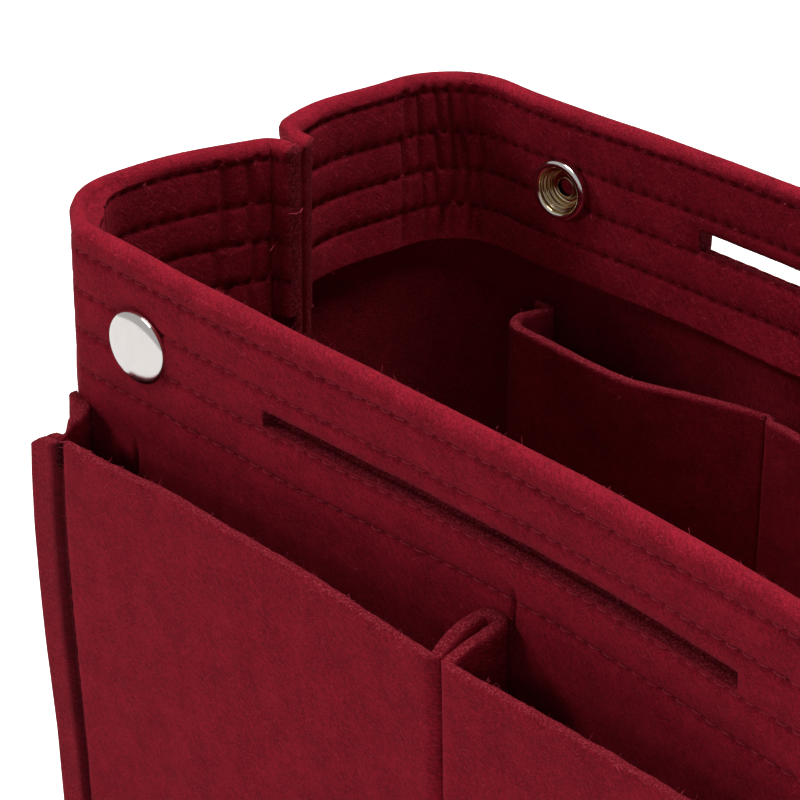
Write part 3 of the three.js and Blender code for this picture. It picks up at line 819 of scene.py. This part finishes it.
def filletLine(corners, counts=None):  # straight runs with round turns, from (x, depth, radius)
    spots = np.array([corner[:2] for corner in corners], float)
    points, used = [], []
    here = spots[0]

    def steps(wanted):  # as many as the other line has, or else as wanted
        used.append(counts[len(used)] if counts else wanted)
        return used[-1]

    def run(end):
        number = steps(max(1, round(float(np.linalg.norm(end - here)) / filletLook["runStep"])))
        for k in range(number):
            points.append(here + (end - here) * k / number)

    for k in range(1, len(corners) - 1):
        toBefore, toAfter = spots[k - 1] - spots[k], spots[k + 1] - spots[k]
        toBefore, toAfter = toBefore / np.linalg.norm(toBefore), toAfter / np.linalg.norm(toAfter)
        angle, radius = math.acos(np.clip(toBefore @ toAfter, -1, 1)), corners[k][2]
        cut = radius / math.tan(angle / 2)
        run(spots[k] + toBefore * cut)
        inward = (toBefore + toAfter) / np.linalg.norm(toBefore + toAfter)
        centre = spots[k] + inward * radius / math.sin(angle / 2)
        first, second = spots[k] + toBefore * cut - centre, spots[k] + toAfter * cut - centre
        swing = math.atan2(first[0] * second[1] - first[1] * second[0], first @ second)
        number = steps(max(filletLook["turnLeast"], round(abs(swing) * radius / filletLook["turnStep"])))
        for m in range(number):
            c, s = math.cos(swing * m / number), math.sin(swing * m / number)
            points.append(centre + np.array([c * first[0] - s * first[1], s * first[0] + c * first[1]]))
        here = spots[k] + toAfter * cut
    run(spots[-1])
    points.append(spots[-1])
    return np.array(points), used


def normals(line):
    away = np.gradient(line, axis=0)
    away /= np.linalg.norm(away, axis=1, keepdims=True)
    return np.stack([-away[:, 1], away[:, 0]], 1)


class Strip:  # felt on edge: plan lines at its foot and its top, and the height of its raw edge
    def __init__(self, lowCorners, highCorners, foot, topAt, seed):
        self.high, counts = filletLine(highCorners)
        self.low, _ = filletLine(lowCorners, counts)
        self.foot, self.seed = foot, seed
        self.along = runLength(self.high)
        self.top = topAt(*self.high.T)

    def surface(self, share, offset):  # points at a share of the height, offset from the felt's middle
        part = share[None, :, None]
        line = self.low[:, None, :] * (1 - part) + self.high[:, None, :] * part
        out = normals(self.low)[:, None, :] * (1 - part) + normals(self.high)[:, None, :] * part
        out /= np.linalg.norm(out, axis=2, keepdims=True)
        z = self.foot + (self.top - self.foot)[:, None] * share[None, :]
        return line + out * offset[:, :, None], z


stripLook = {
    "felt": 2.2, "wallGap": 0.3, "levels": 34, "crowding": 1.6, "edgeSteps": 6, "height": 90,
    "wave": (0.3, 90), "dimple": (0.07, 12), "jag": (0.1, 9), "cornerWorn": 0.25, "crown": 0.12,
    "jagFrom": 0.97, "frayFrom": 0.975, "layStart": 37, "layHeight": 116,
}


def stripPiece(name, strip, toRoom, dent):
    look, seed = stripLook, strip.seed
    half = look["felt"] / 2
    rise = 1 - (1 - np.linspace(0, 1, look["levels"])) ** look["crowding"]
    side, edge = np.full(len(rise), half), np.linspace(half, -half, look["edgeSteps"])[1:-1]
    across = np.concatenate([side, edge, -side, [0.0]])
    share = np.concatenate([rise, np.ones(len(edge)), rise[::-1], [0.0]])
    plain = np.zeros(len(rise) - 1)
    raw = np.concatenate([plain, np.ones(look["edgeSteps"]), plain, [0.0]])
    face = np.sign(across) * (np.abs(across) == half)
    along, up = strip.along[:, None], look["height"] * share[None, :]
    wave = ripple(along, up, seed, *look["wave"]) + ripple(along, up, seed + 3, *look["dimple"])
    give, groove, worn = dent(strip, face)
    offset = across[None, :] + wave + give * face[None, :]
    offset = offset - look["cornerWorn"] * (face * (raw > 0))[None, :]
    place, z = strip.surface(share, offset)
    jag = ripple(along, np.zeros((1, 1)), seed + 7, *look["jag"])
    rim = (np.abs(across) < half) & (share > 0.5)
    crown = np.where(rim, look["crown"] * (1 - (across / half) ** 2), 0.0)
    z = z + (share > look["jagFrom"])[None, :] * jag + crown[None, :]
    points = toRoom(place, z, share)
    up = np.cumsum(np.abs(np.diff(share)) * look["layHeight"] + np.abs(np.diff(across)))
    lay = np.stack(np.broadcast_arrays(along + look["layStart"] * seed, np.append(0, up)[None, :]), -1)
    rows, columns = len(strip.along), len(across)
    faces = gridFaces(rows, columns)
    for base in (0, (rows - 1) * columns):
        for low in range((columns - 3) // 2):
            high = columns - 2 - low
            faces.append((base + low, base + low + 1, base + high - 1, base + high))
        faces.append((base, base + columns - 2, base + columns - 1))
    frayAndPaintedLight = smoothStep(share, look["frayFrom"], 1.0)[None, :]
    masks = {"raw": np.maximum(raw[None, :], worn), "frayAndPaintedLight": frayAndPaintedLight, "groove": groove}
    masks = {key: np.broadcast_to(values, (rows, columns)).ravel() for key, values in masks.items()}
    return makePiece(name, points.reshape(-1, 3), faces, feltWine, lay.reshape(-1, 2), masks)


outerPockets = {
    "tip": 114.6, "legFront": 105.4, "legWall": 111.6, "flange": 118.6, "fold": 1.2, "bend": 1.6,
    "depthTop": 12.2, "depthLow": 8.4, "foot": 2.5, "top": 118.6,
    "pleat": 0.8, "pleatFoot": 3.6, "pleatLean": 0.1, "openTop": 1.1, "openLow": 0.6,
    "foldHalf": 1.25, "foldRound": 1.4, "bellyHalf": 1.3, "bellyAt": 0.4, "bellyRound": 4.0,
    "heelHalf": 2.2, "heelRound": 1.7,
    "pleatRise": 3.2, "riseWidth": 6, "pleatThick": 0.4, "thickWidth": 5,
    "falls": ((1.9, 68, 104), (1.0, 103.6, 105.4), (2.7, 110.4, 115.2)),  # height, start and end
    "slope": 0.2, "slopeFrom": 104.4, "slopeReach": 9, "finFrom": 5.2, "finTo": 3.8,
    "pleatBehind": (1.5, 10), "dipDepth": (6, 11), "hold": (2, 9), "sagDepth": (5, 8),  # start and end
    "frontFelt": 1.7, "seam": 104.6, "seamWidth": 0.8, "seamDeep": 1.5,
    "shadeStart": (-0.7, 0.1), "shadeEnd": (0.5, 3.2), "worn": 0.3, "wornRange": (106, 108), "wornDepth": 4,
    "past": 12, "sag": 0.9, "sagLeft": (-52, 34), "sagRight": (58, 34),  # middle and width
    "flap": (3.6, 84, 35), "dip": (1.3, -3, 20),  # height, middle and width
    "flapRange": (98, 108), "fibres": 3000, "fuzzFrom": 113,
    "seeds": (3, 8), "fuzzSeeds": (25, 30),  # in front and behind
}


def mirrored(corners):
    return [(-x, y, r) for x, y, r in corners[::-1]]


def outerCorners(depth, at, opening):  # from the left flange to the right one; depth is out from the wall
    look, half = outerPockets, stripLook["felt"] / 2
    wall, front = stripLook["wallGap"] + half, depth - half
    back, tip = front - 2 * look["fold"], look["tip"] - half
    left = [(-look["flange"], wall, 0), (-look["legWall"], wall, look["bend"])]
    left.append((-look["legFront"], back, look["bend"]))
    left += [(-tip, back, look["fold"]), (-tip, front, look["fold"])]
    belly = wall + look["bellyAt"] * (front - wall)
    legs = [(-look["foldHalf"], front, look["foldRound"])]
    legs.append((-look["bellyHalf"] - opening, belly, look["bellyRound"]))
    legs.append((-look["heelHalf"], wall, look["heelRound"]))
    pleat = [(at + look["pleatLean"] * (front - y) + x, y, r) for x, y, r in legs + mirrored(legs)]
    return left + pleat + mirrored(left)


def outerTop(x, depth):
    look, out = outerPockets, np.abs(x)
    fin = smoothStep(depth, look["depthTop"] - look["finFrom"], look["depthTop"] - look["finTo"])
    fall = sum(drop * smoothStep(out, start, end) for drop, start, end in look["falls"])
    fall = fall + look["slope"] * np.clip(out - look["slopeFrom"], 0, look["slopeReach"])
    dip = hump(x, *look["dip"]) * smoothStep(depth, *look["dipDepth"])
    rise = hump(x, look["pleatRise"], look["pleat"], look["riseWidth"])
    rise = rise * smoothStep(look["depthTop"] - depth, *look["pleatBehind"])
    return look["top"] - fin * fall - dip + rise


def tuckDent(strip, face):  # sewn line beside each side tuck, with painted shade beside it, and the worn fold
    look, outward = outerPockets, face[None, :] > 0
    x, depth = strip.high[:, :1], strip.high[:, 1:]
    out, front = np.abs(x), depth > look["depthTop"] - look["frontFelt"]
    line = bell(out, look["seam"], look["seamWidth"]) * front * outward
    thick = hump(x, look["pleatThick"], look["pleat"], look["thickWidth"])
    thick = thick * (depth < look["depthTop"] - look["frontFelt"])
    folded = depth > look["depthTop"] - look["wornDepth"]
    worn = look["worn"] * smoothStep(out, *look["wornRange"]) * outward * folded
    # painted shade: a dark band beside the sewn line, where the tuck shades the panel
    shade = between(out - look["seam"], look["shadeStart"], look["shadeEnd"]) * front * outward
    return thick - look["seamDeep"] * line, look["seamDeep"] * shade, worn


def outerRoom(back):  # sets the front or the back strip against its wall
    look, way, corner = outerPockets, 1 if back else -1, shell["corner"]
    straight = shell["length"] / 2 - corner

    def toRoom(place, z, share):
        x, depth = place[..., 0] * -way, place[..., 1]
        wall = np.full(x.shape, way * shell["width"] / 2)
        hold = 1 - smoothStep(depth, *look["hold"])
        moved = slump(x, wall, z) - np.stack([x, wall, z], -1)
        past = np.clip(np.abs(x) - straight, 0, look["past"])
        sag = look["sag"] * np.sin(math.pi * np.clip(share, 0, 1))[None, :]
        sag = sag * (bell(x, *look["sagLeft"]) + bell(x, *look["sagRight"]))
        sag = sag * smoothStep(depth, *look["sagDepth"])
        flap = hump(z, *look["flap"]) * smoothStep(np.abs(x), *look["flapRange"]) * np.sign(x) * (1 - hold)
        depth = depth - (corner - np.sqrt(corner**2 - past**2)) * hold + sag
        return np.stack([x + hold * moved[..., 0] + flap, wall + way * depth + hold * moved[..., 1], z], -1)

    return toRoom


tuckThread = {
    "radius": 0.2, "sides": 5, "rings": 5, "pitch": 3.4, "start": 0.18, "span": 0.64,
    "lift": 0.05, "dive": 0.5, "arch": 0.5, "frontFelt": 1.6, "footClear": 3, "topClear": 4,
    "tackTurns": (0.5, -0.8, 0.7, -0.4, 0.9, -0.7, 0.4, -0.9, 0.6),  # back and forth at the top of the tuck
    "tackOut": 0.5, "tackIn": 0.9, "tackBow": 0.55,
    "tackTop": 0.4, "tackStep": 0.62, "tackFall": 0.5, "tackSway": 0.15,
}


def tuckStitches(name, strip, toRoom, back):  # thread in the groove beside each tuck, in a dark copy of the thread as painted shade
    look, seam, depthTop = tuckThread, outerPockets["seam"], outerPockets["depthTop"]
    t = np.linspace(0, 1, look["rings"])
    bow, full = np.sin(math.pi * t), (len(strip.along), look["rings"])
    lift = look["lift"] - look["dive"] * (1 - bow ** look["arch"])
    front = np.where(strip.high[:, 1] > depthTop - look["frontFelt"])[0]
    lines, ups = [], []
    for sign in (-1, 1):
        row = front[int(np.argmin(np.abs(strip.high[front, 0] - sign * seam)))]
        top = strip.top[row]
        for start in np.arange(strip.foot + look["footClear"], top - look["topClear"], look["pitch"]):
            z = start + look["pitch"] * (look["start"] + look["span"] * t)
            share = (z - strip.foot) / (top - strip.foot)
            spot, level = strip.surface(share, np.broadcast_to(lift, full))
            far, _ = strip.surface(share, np.broadcast_to(lift + 1, full))
            lines.append(toRoom(spot, level, share)[row])
            ups.append(toRoom(far, level, share)[row] - lines[-1])
        for k, turn in enumerate(look["tackTurns"]):
            across = sign * (seam + look["tackOut"] + turn * (1 - 2 * t))
            spot = np.stack([across, depthTop - look["tackIn"] + look["tackBow"] * bow], -1)
            level = top - look["tackTop"] - look["tackStep"] * k
            level = level - look["tackFall"] * t + look["tackSway"] * bow * turn
            share = np.clip((level - strip.foot) / (outerPockets["top"] - strip.foot), 0, 1)
            lines.append(toRoom(spot[None], level[None], share)[0])
            ups.append(np.tile([0.0, 1.0 if back else -1.0, 0.1], (look["rings"], 1)))
    points, faces, lay = tubes(lines, ups, look["radius"], look["sides"])
    return makePiece(name, points, faces, threadPaintedShade, lay)


for side, back in (("front", False), ("back", True)):
    look = outerPockets
    low = outerCorners(look["depthLow"], look["pleatFoot"], look["openLow"])
    high = outerCorners(look["depthTop"], look["pleat"], look["openTop"])
    strip = Strip(low, high, look["foot"], outerTop, look["seeds"][back])
    toRoom = outerRoom(back)
    piece = stripPiece(side + "_pocket_strip", strip, toRoom, tuckDent)
    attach(piece, side + "_side")
    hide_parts(side + "_outer_pockets")
    sewn = tuckStitches(side + "_tuck_stitches", strip, toRoom, back)
    loose = fuzz(side + "_pocket_fuzz", piece, look["fibres"], look["fuzzSeeds"][back], look["fuzzFrom"])
    for fine in (sewn, loose):
        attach(fine, side + "_side")
print("outer pockets made")

innerPockets = {
    "flange": 102.4, "leg": 97.6, "cornerAt": 101.2, "corner": 4.6, "bend": 1.5, "foot": 11.1, "top": 108.0,
    "front": ((0, 11.2, 60), (18, 8.6, 30), (32.0, 6.9, 1.2), (33.8, 4.4, 1.2), (66.5, 14.9, 26)),
    "depth": 16.0, "footShare": 0.9, "topRise": (0.7, 26, 6), "topFall": (0.6, 66, 20), "seed": 5,
    "sewnWidth": 1.0, "sewnDeep": 0.5, "wallY": 56.8, "hold": (2, 8), "dividerWidth": 12,
    "fibres": 1800, "fuzzSeed": 35, "fuzzFrom": 106,
}


def innerCorners(share):  # depth is in from the back wall; share tells how far the pockets stand open
    look, wall = innerPockets, stripLook["wallGap"] + stripLook["felt"] / 2
    half = [*look["front"], (look["cornerAt"], look["depth"], look["corner"])]
    half = [(x, wall + share * (y - wall), r) for x, y, r in half]
    half += [(look["leg"], wall, look["bend"]), (look["flange"], wall, 0)]
    return mirrored(half[1:]) + half


def innerTop(x, _):
    look, out = innerPockets, np.abs(x)
    return look["top"] + hump(out, *look["topRise"]) - hump(out, *look["topFall"])


def innerDent(strip, face):  # sewn lines of the two dividers, with painted shade along them
    out = np.abs(strip.high[:, :1])
    shut = bell(out, slumpLook["divider"], innerPockets["sewnWidth"]) * (face[None, :] != 0)
    return -innerPockets["sewnDeep"] * shut, shut, 0.0


def innerRoom(place, z, share):
    look = innerPockets
    x, depth = place[..., 0], place[..., 1]
    wall = np.full(x.shape, look["wallY"])
    hold = 1 - smoothStep(depth, *look["hold"])
    divider = bell(np.abs(x), slumpLook["divider"], look["dividerWidth"])
    hold = np.maximum(hold, divider * (1 - share[None, :]))
    return np.stack([x, wall - depth + hold * (slump(x, wall, z)[..., 1] - wall), z], -1)


look = innerPockets
strip = Strip(innerCorners(look["footShare"]), innerCorners(1), look["foot"], innerTop, look["seed"])
piece = stripPiece("inner_pocket_strip", strip, innerRoom, innerDent)
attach(piece, "back_side")
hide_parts("back_inner_pockets")
loose = fuzz("inner_pocket_fuzz", piece, look["fibres"], look["fuzzSeed"], look["fuzzFrom"])
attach(loose, "back_side")
print("inner pockets made")

basePlates = {
    "slots": {"base_panel": "felt", "base_lining": "inner_felt"},
    "weld": 1e-6, "flatten": math.radians(2), "sharp": 1, "round": 0.0006, "roundSteps": 3,
    "layAcross": 100, "layUp": 30, "layStart": 40, "cut": (0.15, 0.85), "cutRaw": 0.8, "fill": 0.9,
}

for node, slotName in basePlates["slots"].items():
    look, work = basePlates, bmesh.new()
    work.from_mesh(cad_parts[node].data)
    bmesh.ops.remove_doubles(work, verts=work.verts, dist=look["weld"])
    bmesh.ops.dissolve_limit(work, angle_limit=look["flatten"], verts=work.verts, edges=work.edges)
    paired = [edge for edge in work.edges if len(edge.link_faces) == 2]
    sharp = [edge for edge in paired if edge.calc_face_angle() > look["sharp"]]
    rounding = {"offset": look["round"], "segments": look["roundSteps"], "profile": 0.5, "affect": "EDGES"}
    bmesh.ops.bevel(work, geom=sharp, **rounding)
    bmesh.ops.triangulate(work, faces=[face for face in work.faces if len(face.verts) > 4])
    mesh = bpy.data.meshes.new(node + "_felt")
    work.to_mesh(mesh)
    work.free()
    spots = readPoints(mesh)
    layOut(mesh, spots[:, :2] * look["layAcross"] + spots[:, 2:] * look["layUp"] + look["layStart"])
    level = (spots[:, 2] - spots[:, 2].min()) / np.ptp(spots[:, 2])
    keepMask(mesh, "raw", look["cutRaw"] * ((level > look["cut"][0]) & (level < look["cut"][1])))
    plate = addPiece(node + "_felt", mesh, feltWine)
    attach(plate, "base_and_ends")
    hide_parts(node)
print("base made")

turnedLook = {"sides": 72, "weld": 1e-7}


def turned(name, profile, finishes, within=()):  # from (radius, out); within has further finishes' radii
    sides, profile = turnedLook["sides"], np.array(profile, float)
    angle = np.arange(sides) * 2 * math.pi / sides
    radius, out = profile[:, :1], np.broadcast_to(profile[:, 1:], (len(profile), sides))
    points = np.stack([radius * np.cos(angle), out, radius * np.sin(angle)], -1).reshape(-1, 3)
    piece = makePiece(name, points, gridFaces(len(profile), sides), finishes[0])
    settle(piece.data, turnedLook["weld"])
    for finish in finishes[1:]:
        piece.data.materials.append(finish)
    for face in piece.data.polygons:
        middle = face.center / mm
        face.material_index = sum(math.hypot(middle.x, middle.z) < radius for radius in within)
    return piece


def arc(centreX, centreY, radius, start, end, steps):
    angles = np.radians(np.linspace(start, end, steps))
    return [(centreX + radius * math.cos(a), centreY + radius * math.sin(a)) for a in angles]


studs = {
    "capRadius": 7.5, "capEdge": 0.85, "capRise": 2.0, "capDome": 0.8, "capSpan": 84, "capSteps": 15,
    "capSink": 0.2, "post": 1.7, "reach": {"front": 5.5, "back": 1.2}, "slopeReach": 3,
    "wire": 0.22, "wireSides": 8, "wireRing": 4.3, "wireOut": 0.72, "wireSpan": (25, 335), "wireSteps": 40,
    "warmWithin": 5.15, "paintedShadeWithin": 1.96,
    "frontTilt": -5, "frontNod": -3, "backTilt": 2, "socketTilt": -4,
}

capProfile = []
for a in np.radians(np.linspace(0, studs["capSpan"], studs["capSteps"])):
    domeOut = studs["capEdge"] + studs["capRise"] * math.cos(a) ** studs["capDome"]
    capProfile.append((studs["capRadius"] * math.sin(a), domeOut))
capProfile += arc(studs["capRadius"] - 0.5, 0.62, 0.55, 30, -90, 9)
capProfile += [(studs["post"] + 0.6, 0.05), (studs["post"], -0.4)]
posts = {side: [(studs["post"], -reach), (0, -reach)] for side, reach in studs["reach"].items()}
studProfile = [(0, 4.1), (1.2, 4.1)] + arc(2.3, 3.1, 1.0, 80, -50, 10) + [(2.75, 1.9), (2.9, 1.2)]
studProfile += arc(3.5, 1.35, 0.55, 200, 270, 4) + arc(4.9, 0.5, 0.42, 80, -90, 7)
studProfile += [(1.9, 0.05), (1.9, 0.9), (0, 0.9)]
socketProfile = arc(5.75, 1.75, 0.85, -30, 190, 16)
socketProfile += [(4.88, 1.2), (4.72, 1.12), (4.62, 1.2), (4.54, 1.05), (4.5, 0.5), (4.36, 0.4), (4.26, 0.48)]
socketProfile += [(4.16, 0.3), (4.1, -0.2), (3.96, -0.32), (3.84, -0.24), (3.74, -0.45), (3.66, -1.0)]
socketProfile += [(3.4, -1.25), (2.5, -1.3), (2.36, -1.1), (2.3, -0.5)] + arc(2.13, -0.45, 0.17, 0, 180, 7)
socketProfile += [(1.94, -0.9), (1.9, -3.0), (0, -3.05), (0, -3.3), (4.6, -3.3), (4.9, -0.35)]
socketProfile += [(6.3, -0.3), (6.5, 0.4), (6.55, 1.1)]
socketProfile.append(socketProfile[0])


def seat(piece, x, y, facingFront, tilt, body, node, nod=0):  # about square to the felt there
    reach = studs["slopeReach"]
    spots = slump(np.array([x - reach, x, x + reach]), np.full(3, y), np.full(3, shell["studZ"]))
    slope = math.atan2(spots[2, 1] - spots[0, 1], spots[2, 0] - spots[0, 0])
    turn = slope + math.radians(tilt) + (math.pi if facingFront else 0)
    rotation = Quaternion((0, 0, 1), turn) @ Quaternion((1, 0, 0), math.radians(nod))
    piece.data.transform(rotation.to_matrix().to_4x4())
    piece.data.transform(Matrix.Translation(Vector(spots[1]) * mm))
    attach(piece, body)
    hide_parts(node)


for side, sign in (("left", -1), ("right", 1)):
    x, outer, steps = sign * shell["studX"], shell["width"] / 2, studs["wireSteps"]
    capY, hemY, socketTilt = outer - studs["capSink"], outer - 2 * shell["felt"], studs["socketTilt"] * sign
    frontTilt, backTilt, nod = studs["frontTilt"] * sign, studs["backTilt"] * sign, studs["frontNod"]
    cap = turned(f"front_cap_dome_{side}", capProfile + posts["front"], [nickelBright])
    seat(cap, x, -capY, True, frontTilt, "front_side", f"front_cap_{side}", nod)
    cap = turned(f"back_cap_dome_{side}", capProfile + posts["back"], [nickelBright])
    seat(cap, x, capY, False, backTilt, "back_side", f"back_cap_{side}")
    stud = turned(f"front_stud_turned_{side}", studProfile, [nickelBright])
    seat(stud, x, -hemY, False, 0, "front_side", f"front_stud_{side}")
    # the bore of the socket takes the dark nickel as painted shade
    metals, within = [nickelBright, nickelWarm, nickelPaintedShade], (studs["warmWithin"], studs["paintedShadeWithin"])
    socket = turned(f"back_socket_turned_{side}", socketProfile, metals, within)
    seat(socket, x, hemY, True, socketTilt, "back_side", f"back_socket_{side}")
    around = np.radians(np.linspace(*studs["wireSpan"], steps))
    ringX, ringZ = studs["wireRing"] * np.cos(around), studs["wireRing"] * np.sin(around)
    ring = np.stack([ringX, np.full(steps, studs["wireOut"]), ringZ], -1)
    ups = [np.tile([0.0, 1.0, 0.0], (steps, 1))]
    points, faces, lay = tubes([ring], ups, studs["wire"], studs["wireSides"])
    wire = makePiece(f"socket_wire_{side}", points, faces, nickelWarm, lay)
    seat(wire, x, hemY, True, socketTilt, "back_side", f"socket_spring_{side}")
print("press studs made")

stageLook = {
    "floor": tone(236, 236, 236), "white": (1, 1, 1), "lift": 0.6,
    "reach": 6.0, "sides": 96, "level": -0.0002,
}

f = Finish(bpy.data.materials.new("paleFloor"))
seen, glossy, through = f.rays()
matte = f.node("ShaderNodeBsdfDiffuse", {}, {"Color": stageLook["floor"]})
glow = f.node("ShaderNodeEmission", {}, {"Color": stageLook["white"], "Strength": seen * stageLook["lift"]})
lit = f.node("ShaderNodeAddShader", {}, {0: matte, 1: glow})
white = f.node("ShaderNodeEmission", {}, {"Color": stageLook["white"], "Strength": 1.0})
shown = f.node("ShaderNodeMixShader", {}, {0: glossy + through, 1: lit, 2: white})
f.node("ShaderNodeOutputMaterial", {}, {"Surface": shown})
reach, sides = stageLook["reach"], stageLook["sides"]
around = np.linspace(0, 2 * math.pi, sides + 1)[:-1]
rim = [(reach * math.cos(a), reach * math.sin(a), stageLook["level"]) for a in around]
floorMesh = bpy.data.meshes.new("floor")
floorMesh.from_pydata(rim, [], [tuple(range(sides))])
floorMesh.materials.append(f.owner)
floor = bpy.data.objects.new("floor", floorMesh)
scene.collection.objects.link(floor)

skyLook = {"sky": 0.02, "shown": 1.0, "glossy": 0.5}
scene.world = bpy.data.worlds.new("studio")
w = Finish(scene.world)
seen, glossy, through = w.rays()
level = skyLook["sky"] + (skyLook["shown"] - skyLook["sky"]) * (seen + through)
level = level + (skyLook["glossy"] - skyLook["sky"]) * glossy
sky = w.node("ShaderNodeBackground", {}, {"Color": stageLook["white"], "Strength": level})
w.node("ShaderNodeOutputWorld", {}, {"Surface": sky})

lamps = {
    "top": {"place": (0.0, 0.22, 1.53), "size": 0.9, "power": 34},
    "front": {"place": (-0.6, -1.6, 0.69), "size": 0.45, "power": 4.5},
    "left": {"place": (-1.5, -0.75, 1.25), "size": 0.5, "power": 17},
    "side": {"place": (1.1, -1.2, 0.75), "size": 0.7, "power": 3},
}
lampAim = Vector((-0.05, 0, 0.1))
for name, look in lamps.items():
    data = bpy.data.lights.new(name, "AREA")
    data.shape, data.size, data.energy = "DISK", look["size"], look["power"]
    lamp = bpy.data.objects.new(name, data)
    lamp.location = look["place"]
    lamp.visible_glossy = name == "top"
    lamp.rotation_euler = (lampAim - lamp.location).to_track_quat("-Z", "Y").to_euler()
    scene.collection.objects.link(lamp)

cameraLook = {
    "place": (0.3648, -0.4065, 0.4278), "aim": (-0.0038, -0.0750, 0.1673),
    "lens": 153.5, "sensor": 36, "roll": math.radians(0.44),
}
cameraData = bpy.data.cameras.new("camera")
cameraData.lens, cameraData.sensor_width = cameraLook["lens"], cameraLook["sensor"]
camera = bpy.data.objects.new("camera", cameraData)
camera.location = cameraLook["place"]
aim = (Vector(cameraLook["aim"]) - camera.location).to_track_quat("-Z", "Y")
camera.rotation_mode = "QUATERNION"
camera.rotation_quaternion = aim @ Quaternion((0, 0, 1), cameraLook["roll"])
scene.collection.objects.link(camera)
scene.camera = camera
scene.view_settings.view_transform = "Standard"
print("stage set")
